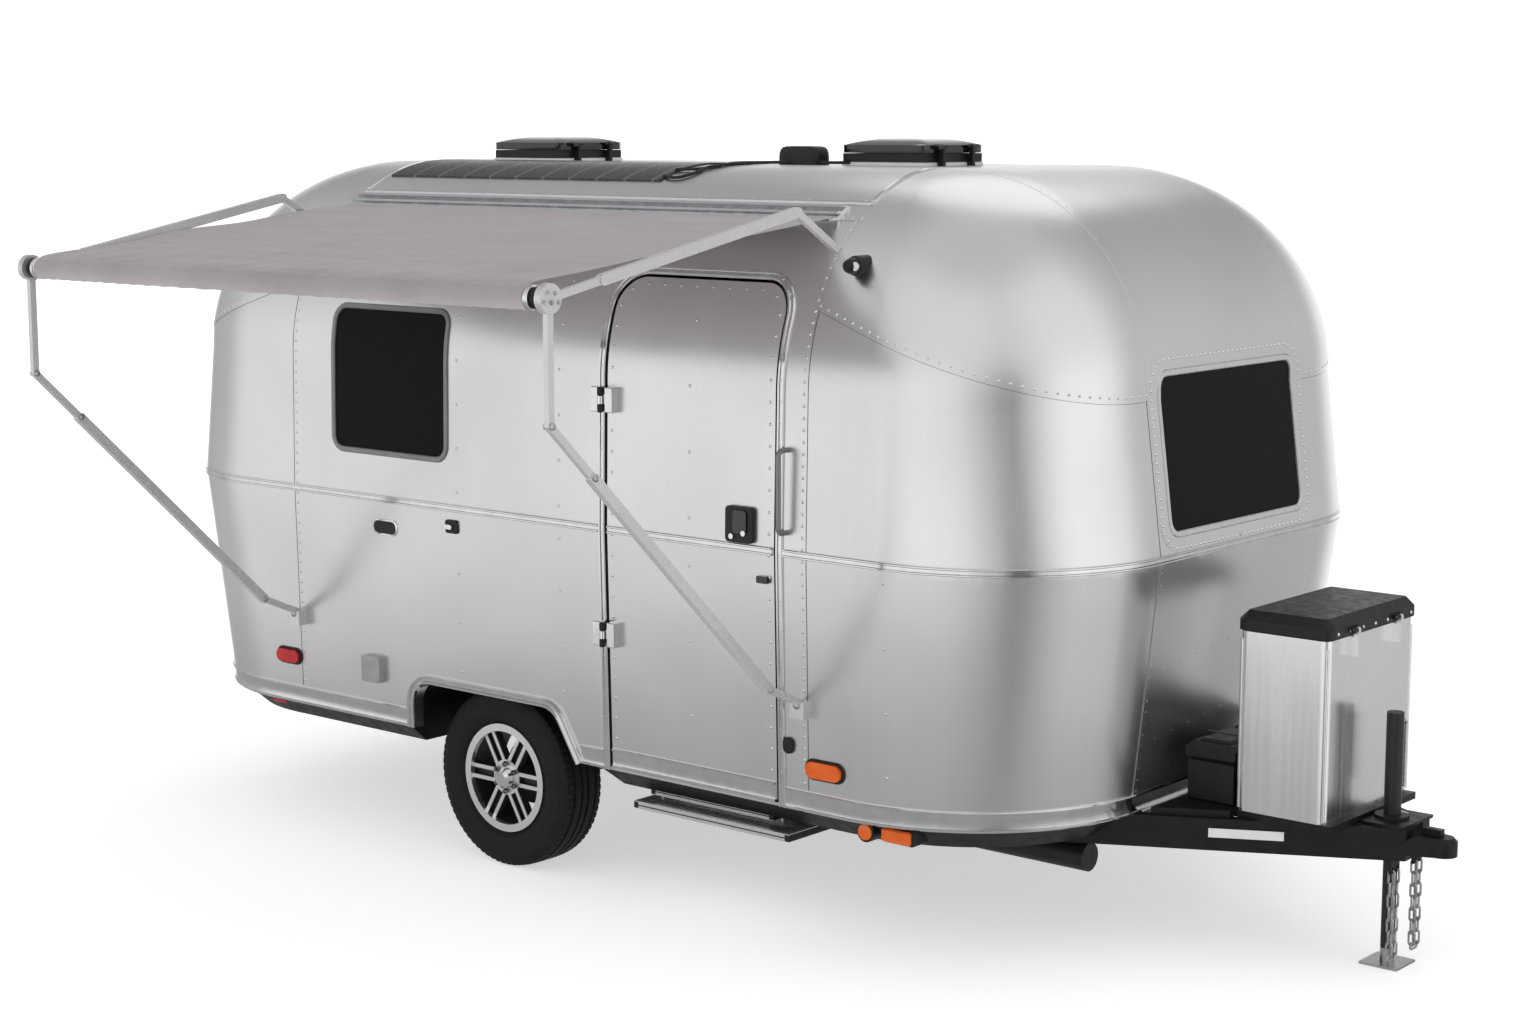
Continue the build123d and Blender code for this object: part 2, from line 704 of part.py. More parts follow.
with BuildPart() as jack_leg:
    with Locations((ahead(JACK_X), 0, GROUND_Z)):
        Box(JACK_FOOT, JACK_FOOT, JACK_FOOT_THICK, align=ON_BASE)
        Cylinder(JACK_LEG, JACK_TOP - 2 * TONGUE_PLATE, align=ON_BASE)
save(jack_leg.part, "jack_leg")

# Battery boxes with bevelled lids, side by side behind the gas cover
with BuildPart() as battery_boxes:
    battery_x = ahead(GAS_REAR) - BATTERY_GAP - BATTERY_LENGTH / 2
    for side_name, side in SIDES:
        with Locations((battery_x, side * (BATTERY_WIDTH + BATTERY_GAP) / 2, TRAY_TOP)):
            Box(BATTERY_LENGTH, BATTERY_WIDTH, BATTERY_TALL, align=ON_BASE)
    chamfer(battery_boxes.faces().group_by(Axis.Z)[-1].edges(), BATTERY_GAP)
save(battery_boxes.part, "battery_boxes")


def hinge_ear(axis_x, y, axis_z, foot_x, foot_low, foot_high):
    """An ear with a pin, on a foot that stands on the fixed side of a lid hinge."""
    with BuildPart() as ear:
        with Locations(Location((axis_x, y, axis_z), (90, 0, 0))):
            Cylinder(LID_EAR_RADIUS, LID_EAR_WIDE)
        y_low = y - LID_EAR_WIDE / 2
        y_high = y + LID_EAR_WIDE / 2
        add(block(axis_x - LID_EAR_RADIUS, axis_x + LID_EAR_RADIUS, y_low, y_high, foot_low, axis_z))
        add(block(foot_x, axis_x + LID_EAR_RADIUS, y_low, y_high, foot_low, foot_high))
        with Locations(Location((axis_x, y, axis_z), (90, 0, 0))):
            Cylinder(LID_PIN, 3 * LID_EAR_WIDE + 2 * LID_EAR_GAP)
    return ear.part


def hinge_lug(axis_x, y, axis_z, lid_x):
    """Two lugs on a lid, one each side of an ear, with holes for the ear's pin."""
    step = LID_EAR_WIDE + LID_EAR_GAP
    with BuildPart() as lug:
        for place in (y - step, y + step):
            with Locations(Location((axis_x, place, axis_z), (90, 0, 0))):
                Cylinder(LID_EAR_RADIUS, LID_EAR_WIDE)
            add(block(lid_x, axis_x, place - LID_EAR_WIDE / 2, place + LID_EAR_WIDE / 2,
                      axis_z - LID_EAR_RADIUS, axis_z + LID_EAR_RADIUS))
        with Locations(Location((axis_x, y, axis_z), (90, 0, 0))):
            Cylinder(LID_PIN + PIN_CLEARANCE, 4 * LID_EAR_WIDE, mode=Mode.SUBTRACT)
    return lug.part


# Gas cover: a folded sheet box with rounded upright edges, open at the top
GAS_MIDDLE = ahead((GAS_REAR + GAS_FRONT) / 2)
GAS_LENGTH = GAS_FRONT - GAS_REAR
GAS_LID_LOW = up(GAS_TOP) + LID_GAP
GAS_LID_FRONT = ahead(GAS_FRONT) + LID_OVERHANG
GAS_AXIS_X = GAS_LID_FRONT + LID_AXIS_OUT
GAS_AXIS_Z = GAS_LID_LOW + LID_AXIS_UP
GAS_EARS = (-GAS_HALF / 2, GAS_HALF / 2)
with BuildPart() as gas_cover:
    with BuildSketch(Plane((GAS_MIDDLE, 0, TRAY_TOP))):
        RectangleRounded(GAS_LENGTH, 2 * GAS_HALF, GAS_CORNER)
        RectangleRounded(GAS_LENGTH - 2 * GAS_SHEET, 2 * (GAS_HALF - GAS_SHEET), GAS_CORNER - GAS_SHEET,
                         mode=Mode.SUBTRACT)
    extrude(amount=up(GAS_TOP) - TRAY_TOP)
    for ear_y in GAS_EARS:
        add(hinge_ear(GAS_AXIS_X, ear_y, GAS_AXIS_Z, ahead(GAS_FRONT), up(GAS_TOP) - LID_TALL, up(GAS_TOP)))
save(gas_cover.part, "gas_cover")

# Lid of the gas cover: a bevelled cap, hinged along its front edge
with BuildPart() as gas_lid:
    with BuildSketch(Plane((GAS_MIDDLE, 0, GAS_LID_LOW))):
        RectangleRounded(GAS_LENGTH + 2 * LID_OVERHANG, 2 * (GAS_HALF + LID_OVERHANG),
                         GAS_CORNER + LID_OVERHANG)
    extrude(amount=LID_TALL)
    chamfer(gas_lid.faces().sort_by(Axis.Z)[-1].edges(), LID_BEVEL)
    with BuildSketch(Plane((GAS_MIDDLE, 0, GAS_LID_LOW))):
        RectangleRounded(GAS_LENGTH - 2 * LID_WALL, 2 * (GAS_HALF - LID_WALL), GAS_CORNER)
    extrude(amount=LID_TALL - LID_BEVEL - LID_WALL, mode=Mode.SUBTRACT)
    for ear_y in GAS_EARS:
        add(hinge_lug(GAS_AXIS_X, ear_y, GAS_AXIS_Z, GAS_LID_FRONT))
save(gas_lid.part, "gas_lid")

# Gas bottles inside the cover
with BuildPart() as gas_bottles:
    for side_name, side in SIDES:
        with Locations((GAS_MIDDLE, side * GAS_HALF / 2, TRAY_TOP)):
            Cylinder(BOTTLE_RADIUS, BOTTLE_TALL, align=ON_BASE)
    fillet(gas_bottles.faces().group_by(Axis.Z)[-1].edges(), BOTTLE_RADIUS / 2)
    for side_name, side in SIDES:
        with Locations((GAS_MIDDLE, side * GAS_HALF / 2, TRAY_TOP + BOTTLE_TALL)):
            Cylinder(BOTTLE_RADIUS / 4, BOTTLE_RADIUS / 2, align=ON_BASE)
save(gas_bottles.part, "gas_bottles")

# Mouldings: a belt rail round the body and a sill trim below it, both broken at the door,
# each with a ridge along its edges and a shallow channel between them
with BuildPart() as channels:
    for low, width in MOULDINGS:
        add(block(-3 * REACH, REACH, -REACH, REACH, up(low + RIDGE_WIDTH), up(low + width - RIDGE_WIDTH)))
    add(GROOVE_BAND, mode=Mode.INTERSECT)

with BuildPart() as moulding_rings:
    for low, width in MOULDINGS:
        add(block(-3 * REACH, REACH, -REACH, REACH, up(low), up(low + width)))
    add(RAIL_BAND, mode=Mode.INTERSECT)
    add(channels.part, mode=Mode.SUBTRACT)

with BuildPart() as body_mouldings:
    add(moulding_rings.part)
    add(DOOR_SURROUND, mode=Mode.SUBTRACT)
    for side_name, side in SIDES:
        add(wheel_well(side, ARCH_TRIM_WIDTH, BELLY_LOW, 0.0), mode=Mode.SUBTRACT)
save(body_mouldings.part, "body_mouldings")

# Trims round the wheel arches
with BuildPart() as arch_trims:
    for side_name, side in SIDES:
        add(wheel_well(side, ARCH_TRIM_WIDTH, SILL_HEIGHT, 0.0))
        add(wheel_well(side, 0.0, BELLY_LOW, 0.0), mode=Mode.SUBTRACT)
    add(skin_band(0.0, ARCH_TRIM_PROUD), mode=Mode.INTERSECT)
save(arch_trims.part, "arch_trims")

# Entry door: the wall's own section
with BuildPart() as entry_door:
    add(SHELL)
    add(DOOR_LEAF, mode=Mode.INTERSECT)
save(entry_door.part, "entry_door")

HINGE_X = ahead(DOOR_REAR) - DOOR_GAP / 2
HINGE_Y = -(WALL_SECTIONS[1][1] + HINGE_OFFSET)
KNUCKLE_REACH = HINGE_BARREL + 2 * KNUCKLE_GAP


def hinge_leaf(direction):
    """The hinge leaves on one side of the hinge line: -1 on the wall, +1 on the door."""
    x_low, x_high = sorted((HINGE_X + direction * KNUCKLE_REACH, HINGE_X + direction * HINGE_LEAF))
    with BuildPart() as leaves:
        for height in HINGE_HEIGHTS:
            add(block(x_low, x_high, HINGE_Y + LEAF_SETBACK, 0, up(height - HINGE_TALL / 2),
                      up(height + HINGE_TALL / 2)))
        add(OUTER, mode=Mode.SUBTRACT)
    return leaves.part


def hinge_knuckle(direction, z_low, z_high):
    """A barrel round the hinge line with a web to its leaf."""
    x_low, x_high = sorted((HINGE_X, HINGE_X + direction * (KNUCKLE_REACH + KNUCKLE_GAP)))
    with BuildPart() as knuckle:
        with Locations((HINGE_X, HINGE_Y, z_low)):
            Cylinder(HINGE_BARREL, z_high - z_low, align=ON_BASE)
        add(block(x_low, x_high, HINGE_Y + LEAF_SETBACK, HINGE_Y + HINGE_BARREL, z_low, z_high))
    return knuckle.part


# Door trim: the door's own pieces of the mouldings, and the hinge leaves that turn with it
with BuildPart() as door_trim:
    add(moulding_rings.part)
    add(DOOR_LEAF, mode=Mode.INTERSECT)
    add(hinge_leaf(1))
    for height in HINGE_HEIGHTS:
        middle_half = HINGE_TALL / 6 - KNUCKLE_GAP
        add(hinge_knuckle(1, up(height) - middle_half, up(height) + middle_half))
        with Locations((HINGE_X, HINGE_Y, up(height))):
            Cylinder(HINGE_PIN + PIN_CLEARANCE, HINGE_TALL, mode=Mode.SUBTRACT)
save(door_trim.part, "door_trim")

# Raised frame round the door opening, with the fixed hinge leaves and their pins
with BuildPart() as door_frame:
    add(FRAME_BAND)
    add(DOOR_SURROUND, mode=Mode.INTERSECT)
    add(DOOR_OPENING, mode=Mode.SUBTRACT)
    add(hinge_leaf(-1))
    for height in HINGE_HEIGHTS:
        for end in (-1, 1):
            z_low, z_high = sorted((up(height) + end * HINGE_TALL / 6, up(height) + end * HINGE_TALL / 2))
            add(hinge_knuckle(-1, z_low, z_high))
        with Locations((HINGE_X, HINGE_Y, up(height))):
            Cylinder(HINGE_PIN, HINGE_TALL)
save(door_frame.part, "door_frame")

# Door handle, a shallow bezel, and the grab handle ahead of the door
with BuildPart() as door_handle:
    add(skin_band(0.0, HANDLE_PROUD))
    add(side_prism(side_outline(HANDLE_X, HANDLE_HEIGHT, HANDLE_WIDTH, HANDLE_TALL, HANDLE_PROUD), RIGHT),
        mode=Mode.INTERSECT)
save(door_handle.part, "door_handle")

with BuildPart() as grab_handle:
    grab_out = -(WALL_SECTIONS[1][1] + GRAB_REACH)
    foot_low = -wall_half_width(GRAB_LOW - GRAB_BAR / 2)
    foot_high = -wall_half_width(GRAB_HIGH - GRAB_BAR / 2)
    with BuildLine():
        FilletPolyline(
            (ahead(GRAB_X), foot_low, up(GRAB_LOW)),
            (ahead(GRAB_X), grab_out, up(GRAB_LOW)),
            (ahead(GRAB_X), grab_out, up(GRAB_HIGH)),
            (ahead(GRAB_X), foot_high, up(GRAB_HIGH)),
            radius=GRAB_REACH / 2,
        )
    with BuildSketch(Plane((ahead(GRAB_X), foot_low, up(GRAB_LOW)), z_dir=(0, -1, 0))):
        Circle(GRAB_BAR / 2)
    sweep()
save(grab_handle.part, "grab_handle")

# Window frames that line the openings, and the dark panes in them
FRAME_LAYER = skin_band(-FRAME_DEEP, FRAME_PROUD)
PANE_LAYER = skin_band(-GLASS_SINK - GLASS, -GLASS_SINK)


def window_prism(window, inset):
    """A window's opening, drawn in by inset, through the wall it is in."""
    facing, *place, width, tall, corner = window
    if window in END_WINDOWS:
        outline = end_outline(0.0, *place, width - 2 * inset, tall - 2 * inset, corner - inset)
        return end_prism(outline, facing)
    outline = side_outline(*place, width - 2 * inset, tall - 2 * inset, corner - inset)
    return side_prism(outline, facing)


with BuildPart() as window_frames:
    for window in SIDE_WINDOWS + END_WINDOWS:
        add(window_prism(window, 0.0))
    for window in SIDE_WINDOWS + END_WINDOWS:
        add(window_prism(window, WINDOW_FRAME), mode=Mode.SUBTRACT)
    add(FRAME_LAYER, mode=Mode.INTERSECT)
save(window_frames.part, "window_frames")

with BuildPart() as window_panes:
    for window in SIDE_WINDOWS + END_WINDOWS:
        add(window_prism(window, WINDOW_FRAME))
    add(PANE_LAYER, mode=Mode.INTERSECT)
save(window_panes.part, "window_panes")

# Roof vents: an upstand round each opening, and a domed lid hinged at its front edge
ROOF_Z = up(ROOF_HEIGHT)
VENT_TOP = ROOF_Z + VENT_BASE_TALL
VENT_LID_LOW = VENT_TOP + LID_GAP
VENT_EARS = (-VENT_SIZE / 4, VENT_SIZE / 4)
with BuildPart() as vent_bases:
    for vent_name, middle in VENTS:
        with BuildSketch(Plane((ahead(middle), 0, ROOF_Z))):
            Rectangle(VENT_SIZE, VENT_SIZE)
            Rectangle(VENT_SIZE - 2 * VENT_WALL, VENT_SIZE - 2 * VENT_WALL, mode=Mode.SUBTRACT)
    extrude(amount=VENT_BASE_TALL)
    for vent_name, middle in VENTS:
        base_front = ahead(middle) + VENT_SIZE / 2
        for ear_y in VENT_EARS:
            add(hinge_ear(base_front + VENT_LID_OVERHANG + LID_AXIS_OUT, ear_y, VENT_LID_LOW + LID_AXIS_UP,
                          base_front, ROOF_Z, VENT_TOP))
save(vent_bases.part, "vent_bases")

for vent_name, middle in VENTS:
    lid_size = VENT_SIZE + 2 * VENT_LID_OVERHANG
    lid_front = ahead(middle) + lid_size / 2
    with BuildPart() as vent_lid:
        with BuildSketch(Plane((ahead(middle), 0, VENT_LID_LOW))):
            RectangleRounded(lid_size, lid_size, VENT_WALL)
        extrude(amount=VENT_LID_EDGE)
        for rise, taper in VENT_LID_CROWN:
            extrude(vent_lid.faces().sort_by(Axis.Z)[-1], amount=rise, taper=taper)
        with BuildSketch(Plane((ahead(middle), 0, VENT_LID_LOW))):
            Rectangle(VENT_SIZE - 2 * VENT_WALL, VENT_SIZE - 2 * VENT_WALL)
        extrude(amount=VENT_LID_HOLLOW, mode=Mode.SUBTRACT)
        for ear_y in VENT_EARS:
            add(hinge_lug(lid_front + LID_AXIS_OUT, ear_y, VENT_LID_LOW + LID_AXIS_UP, lid_front))
    save(vent_lid.part, f"vent_lid_{vent_name}")

# Awning rail, roof side plate and solar panel, layers that follow the right shoulder
with BuildPart() as rail_grooves:
    for low, width in AWNING_RAIL_GROOVES:
        add(block(-3 * REACH, REACH, -REACH, 0, up(low), up(low + width)))
    add(skin_band(AWNING_RAIL_FLOOR, 2 * AWNING_RAIL_PROUD), mode=Mode.INTERSECT)

with BuildPart() as awning_rail:
    add(skin_band(0.0, AWNING_RAIL_PROUD))
    add(block(ahead(AWNING_RAIL_REAR), ahead(AWNING_RAIL_FRONT), -REACH, 0,
              up(ROOF_EDGE_HEIGHT), up(PLATE_LOW_HEIGHT)), mode=Mode.INTERSECT)
    add(rail_grooves.part, mode=Mode.SUBTRACT)
save(awning_rail.part, "awning_rail")

with BuildPart() as roof_side_plate:
    add(skin_band(0.0, PLATE_THICK))
    add(block(ahead(PLATE_REAR), ahead(SEAM_FRONT), -REACH, -PLATE_INNER, up(PLATE_LOW_HEIGHT), REACH),
        mode=Mode.INTERSECT)
save(roof_side_plate.part, "roof_side_plate")

with BuildPart() as solar_panel:
    add(skin_band(PLATE_THICK, PLATE_THICK + PANEL_THICK))
    add(block(ahead(PANEL_REAR), ahead(PANEL_FRONT), -PANEL_OUTER, -PANEL_INNER,
              up(PLATE_LOW_HEIGHT), REACH), mode=Mode.INTERSECT)
save(solar_panel.part, "solar_panel")

# Antenna, a low rounded dome, with its cable to the gland behind it
with BuildPart() as antenna:
    with BuildSketch(Plane((ahead(ANTENNA_X), ANTENNA_Y, ROOF_Z))):
        RectangleRounded(ANTENNA_LENGTH, ANTENNA_WIDTH, ANTENNA_WIDTH / 3)
    extrude(amount=ANTENNA_TALL)
    chamfer(antenna.faces().sort_by(Axis.Z)[-1].edges(), ANTENNA_TALL / 3)
save(antenna.part, "antenna")

# Awning arms: a folding leg up to the roller, a rafter back to the shoulder and its strut
ARM_BASE = Vector(-WALL_SECTIONS[0][1] + WALL / 2, ARM_BASE_HEIGHT)
ARM_KNEE = Vector(ROLLER_Y, ARM_KNEE_HEIGHT)
ARM_HEAD = Vector(ROLLER_Y, ROLLER_HEIGHT)
LEG_SLEEVE = Vector(*ARM_KINK) + (ARM_KNEE - Vector(*ARM_KINK)) * LEG_SLEEVE_END
RAFTER_SLEEVE = ARM_HEAD + (Vector(*RAFTER_TOP) - ARM_HEAD) * RAFTER_SLEEVE_START
ARM_SEGMENTS = (
    # from (y, height), to (y, height), width, thickness
    (ARM_BASE, Vector(*ARM_KINK), INNER_WIDE, INNER_THICK),
    (Vector(*ARM_KINK), LEG_SLEEVE, SLEEVE_WIDE, ARM_THICK),
    (LEG_SLEEVE, ARM_KNEE, INNER_WIDE, INNER_THICK),
    (ARM_KNEE, ARM_HEAD, INNER_WIDE, INNER_THICK),
    (ARM_HEAD, RAFTER_SLEEVE, INNER_WIDE, INNER_THICK),
    (RAFTER_SLEEVE, Vector(*RAFTER_TOP), SLEEVE_WIDE, ARM_THICK),
    (Vector(*RAFTER_TOP), Vector(*STRUT_FOOT), INNER_WIDE, INNER_THICK),
)
with BuildPart() as awning_arms:
    for arm_x in (AWNING_REAR, AWNING_FRONT):
        arm_plane = Plane((ahead(arm_x), 0, GROUND_Z), x_dir=(0, 1, 0), z_dir=(1, 0, 0))
        for start, stop, width, thick in ARM_SEGMENTS:
            with BuildSketch(arm_plane):
                SlotCenterPoint((start + stop) / 2, stop, width)
            extrude(amount=thick / 2, both=True)
        with BuildSketch(arm_plane):
            with Locations(ARM_HEAD):
                Circle(ROLLER_HUB)
        extrude(amount=ARM_THICK / 2, both=True)
        foot_out = -WALL_SECTIONS[1][1] - ARM_FOOT_PROUD
        add(block(ahead(arm_x) - ARM_FOOT / 2, ahead(arm_x) + ARM_FOOT / 2, foot_out, 0,
                  up(ARM_BASE_HEIGHT) - ARM_FOOT / 2, up(ARM_BASE_HEIGHT) + ARM_FOOT / 2))
    add(OUTER, mode=Mode.SUBTRACT)
save(awning_arms.part, "awning_arms")

with BuildPart() as awning_roller:
    roller_rear = ahead(AWNING_REAR) + ARM_THICK / 2
    roller_front = ahead(AWNING_FRONT) - ARM_THICK / 2
    with BuildSketch(Plane((roller_rear, ROLLER_Y, up(ROLLER_HEIGHT)), x_dir=(0, 1, 0), z_dir=(1, 0, 0))):
        Circle(ROLLER_RADIUS)
    extrude(amount=roller_front - roller_rear)
save(awning_roller.part, "awning_roller")

# Awning cloth, a flat sheet from the rail to the top of the roller
with BuildPart() as awning_fabric:
    rail_rise = (ROOF_EDGE_HEIGHT + PLATE_LOW_HEIGHT) / 2 - SHOULDER_HEIGHT
    rail_out = (SHOULDER_RADIUS ** 2 - rail_rise ** 2) ** 0.5 / SHOULDER_RADIUS
    rail_radius = SHOULDER_RADIUS + AWNING_RAIL_PROUD + FABRIC_THICK
    rail_up = rail_rise / SHOULDER_RADIUS
    start = Vector(-(ROOF_HALF_WIDTH + rail_radius * rail_out), SHOULDER_HEIGHT + rail_radius * rail_up)
    centre = Vector(ROLLER_Y, ROLLER_HEIGHT)
    run = (centre - start).normalized()
    across = Vector(run.Y, -run.X)
    stop = centre + across * (ROLLER_RADIUS + LINK_SLACK)
    fabric_rear = ahead(AWNING_RAIL_REAR + FABRIC_MARGIN)
    with BuildSketch(Plane((fabric_rear, 0, GROUND_Z), x_dir=(0, 1, 0), z_dir=(1, 0, 0))):
        with BuildLine():
            Polyline(start, stop, stop + across * FABRIC_THICK, start + across * FABRIC_THICK, close=True)
        make_face()
    extrude(amount=AWNING_RAIL_FRONT - AWNING_RAIL_REAR - 2 * FABRIC_MARGIN)
save(awning_fabric.part, "awning_fabric")

# Wheels: a tyre on a six-spoke rim, and a drum hub that turns on the axle's spindle
WHEEL_CENTRE_Z = up(WHEEL_RADIUS)
WHEEL_MIDDLE = RIM_FACE - RIM_WIDTH / 2
SPOKE_FACE = RIM_FACE - SPOKE_FACE_INSET
for side_name, side in SIDES:
    wheel_plane = Plane((AXLE_X, 0, WHEEL_CENTRE_Z), x_dir=(1, 0, 0), z_dir=(0, 0, 1))
    wheel_axis = Axis((AXLE_X, 0, WHEEL_CENTRE_Z), (0, 1, 0))
    bead_inner = WHEEL_MIDDLE - RIM_WIDTH / 2 + RIM_LIP_THICK
    bead_outer = WHEEL_MIDDLE + RIM_WIDTH / 2 - RIM_LIP_THICK
    side_radius = (RIM_LIP + WHEEL_RADIUS) / 2
    side_inner = WHEEL_MIDDLE - RIM_WIDTH / 2 - TYRE_BULGE
    side_outer = WHEEL_MIDDLE + RIM_WIDTH / 2 + TYRE_BULGE
    shoulder_radius = WHEEL_RADIUS - TYRE_BULGE
    shoulder_inner = WHEEL_MIDDLE - TREAD_HALF - TYRE_BULGE / 2
    shoulder_outer = WHEEL_MIDDLE + TREAD_HALF + TYRE_BULGE / 2
    with BuildPart() as tyre:
        with BuildSketch(wheel_plane):
            with BuildLine():
                Polyline((RIM_LIP, side * bead_inner), (RIM_SEAT, side * bead_inner),
                         (RIM_SEAT, side * bead_outer), (RIM_LIP, side * bead_outer))
                ThreePointArc((RIM_LIP, side * bead_outer), (side_radius, side * side_outer),
                              (shoulder_radius, side * shoulder_outer))
                Polyline((shoulder_radius, side * shoulder_outer),
                         (WHEEL_RADIUS, side * (WHEEL_MIDDLE + TREAD_HALF - TYRE_BULGE / 2)),
                         (WHEEL_RADIUS, side * (WHEEL_MIDDLE - TREAD_HALF + TYRE_BULGE / 2)),
                         (shoulder_radius, side * shoulder_inner))
                ThreePointArc((shoulder_radius, side * shoulder_inner),
                              (side_radius, side * side_inner), (RIM_LIP, side * bead_inner))
            make_face()
        revolve(axis=wheel_axis)
    save(tyre.part, f"tyre_{side_name}")

    with BuildPart() as rim:
        with BuildSketch(wheel_plane):
            with BuildLine():
                Polyline(
                    (RIM_SEAT - RIM_WALL, side * (WHEEL_MIDDLE - RIM_WIDTH / 2)),
                    (RIM_LIP, side * (WHEEL_MIDDLE - RIM_WIDTH / 2)),
                    (RIM_LIP, side * bead_inner),
                    (RIM_SEAT, side * bead_inner),
                    (RIM_SEAT, side * bead_outer),
                    (RIM_LIP, side * bead_outer),
                    (RIM_LIP, side * RIM_FACE),
                    (RIM_SEAT - RIM_WALL, side * RIM_FACE),
                    close=True,
                )
            make_face()
        revolve(axis=wheel_axis)
        face_middle = (AXLE_X, side * SPOKE_FACE, WHEEL_CENTRE_Z)
        with BuildSketch(Plane(face_middle, x_dir=(1, 0, 0), z_dir=(0, -side, 0))):
            Circle(HUB_PAD_RADIUS)
            with PolarLocations(0, SPOKE_PAIRS):
                for spread in (-SPOKE_SPREAD, SPOKE_SPREAD):
                    with Locations(Location(((RIM_SEAT - RIM_WALL / 2) / 2, spread), 0)):
                        Rectangle(RIM_SEAT - RIM_WALL / 2, SPOKE_WIDTH)
            Circle(HUB_CAP_RADIUS + CAP_CLEARANCE, mode=Mode.SUBTRACT)
        extrude(amount=SPOKE_THICK)
        web_inner = HUB_PAD_RADIUS / 2
        web_outer = RIM_SEAT - RIM_WALL / 2
        web_middle = (AXLE_X, side * (SPOKE_FACE - POCKET_DEEP), WHEEL_CENTRE_Z)
        with BuildSketch(Plane(web_middle, x_dir=(1, 0, 0), z_dir=(0, -side, 0))):
            with PolarLocations(0, SPOKE_PAIRS):
                with Locations(((web_inner + web_outer) / 2, 0)):
                    Rectangle(web_outer - web_inner, 2 * SPOKE_SPREAD)
            Circle(HUB_PAD_RADIUS / 2 + HUB_CAP_RADIUS / 2, mode=Mode.SUBTRACT)
        extrude(amount=SPOKE_THICK - POCKET_DEEP)
    save(rim.part, f"rim_{side_name}")

    with BuildPart() as hub:
        pad_back = SPOKE_FACE - SPOKE_THICK
        with BuildSketch(wheel_plane):
            with BuildLine():
                Polyline(
                    (SPINDLE_RADIUS + SPINDLE_CLEARANCE, side * DRUM_INNER),
                    (DRUM_RADIUS, side * DRUM_INNER),
                    (DRUM_RADIUS, side * (DRUM_INNER + DRUM_WIDE)),
                    (HUB_PAD_RADIUS, side * (DRUM_INNER + DRUM_WIDE)),
                    (HUB_PAD_RADIUS, side * pad_back),
                    (HUB_CAP_RADIUS, side * pad_back),
                    (HUB_CAP_RADIUS, side * (SPOKE_FACE + HUB_CAP_PROUD - HUB_CAP_ROUND)),
                    (HUB_CAP_RADIUS - HUB_CAP_ROUND, side * (SPOKE_FACE + HUB_CAP_PROUD)),
                    (0, side * (SPOKE_FACE + HUB_CAP_PROUD)),
                    (0, side * pad_back),
                    (SPINDLE_RADIUS + SPINDLE_CLEARANCE, side * pad_back),
                    close=True,
                )
            make_face()
        revolve(axis=wheel_axis)
    save(hub.part, f"hub_{side_name}")

# Axle: a square torsion tube under the belly, trailing arms and spindles
AXLE_TUBE_TOP = up(BELLY_LOW)
with BuildPart() as axle:
    tube_x = AXLE_X + AXLE_TUBE_AHEAD
    tube_z = AXLE_TUBE_TOP - AXLE_TUBE / 2
    with Locations((tube_x, 0, tube_z)):
        Box(AXLE_TUBE, 2 * AXLE_ARM_INNER, AXLE_TUBE)
    for side_name, side in SIDES:
        with BuildSketch(Plane((0, side * AXLE_ARM_INNER, 0), x_dir=(1, 0, 0), z_dir=(0, side, 0))):
            arm_middle = (AXLE_X + AXLE_TUBE_AHEAD / 2, -side * (tube_z + WHEEL_CENTRE_Z) / 2)
            SlotCenterPoint(arm_middle, (tube_x, -side * tube_z), AXLE_TUBE)
        extrude(amount=AXLE_ARM_THICK)
        spindle_end = SPOKE_FACE - SPOKE_THICK - SPINDLE_GAP
        spindle_middle = side * (AXLE_ARM_INNER + spindle_end) / 2
        with Locations(Location((AXLE_X, spindle_middle, WHEEL_CENTRE_Z), (90, 0, 0))):
            Cylinder(SPINDLE_RADIUS, spindle_end - AXLE_ARM_INNER)
save(axle.part, "axle")

# Entry step, stowed under the belly below the door: two treads between side plates
with BuildPart() as entry_step:
    step_top = up(BELLY_LOW)
    for tread_rear, tread_front, outer, drop in STEP_TREADS:
        add(block(ahead(tread_rear), ahead(tread_front), -outer, STEP_TREAD - outer,
                  step_top - drop - STEP_TREAD_THICK, step_top - drop))
    upper_rear, upper_front = STEP_TREADS[0][:2]
    lower_outer, lower_drop = STEP_TREADS[1][2:]
    for plate_x in (upper_rear, upper_front - STEP_PLATE):
        add(block(ahead(plate_x), ahead(plate_x) + STEP_PLATE, STEP_TREAD / 2 - lower_outer,
                  STEP_TREAD - lower_outer, step_top - lower_drop - STEP_TREAD_THICK, step_top))
save(entry_step.part, "entry_step")

# Side lamps, tail lamps and the fittings that stand on the skin
LAMP_BAND = skin_band(0.0, LAMP_PROUD)
for lamp_name, middle, height, length, tall in SIDE_LAMPS:
    with BuildPart() as side_lamp:
        for side_name, side in SIDES:
            add(side_prism(side_outline(middle, height, length, tall, tall / 2 - 1), side))
        if lamp_name == "red":
            for side_name, side in SIDES:
                outline = end_outline(side * TAIL_LAMP_Y, TAIL_LAMP_HEIGHT, TAIL_LAMP_WIDE,
                                      TAIL_LAMP_TALL, LAMP_PROUD)
                add(end_prism(outline, -1))
        add(LAMP_BAND, mode=Mode.INTERSECT)
    save(side_lamp.part, f"{lamp_name}_lamps")

with BuildPart() as power_inlet:
    add(skin_band(0.0, INLET_PROUD))
    add(side_prism(side_outline(INLET_X, INLET_HEIGHT, INLET_SIZE, INLET_SIZE, INLET_PROUD / 2), RIGHT),
        mode=Mode.INTERSECT)
save(power_inlet.part, "power_inlet")

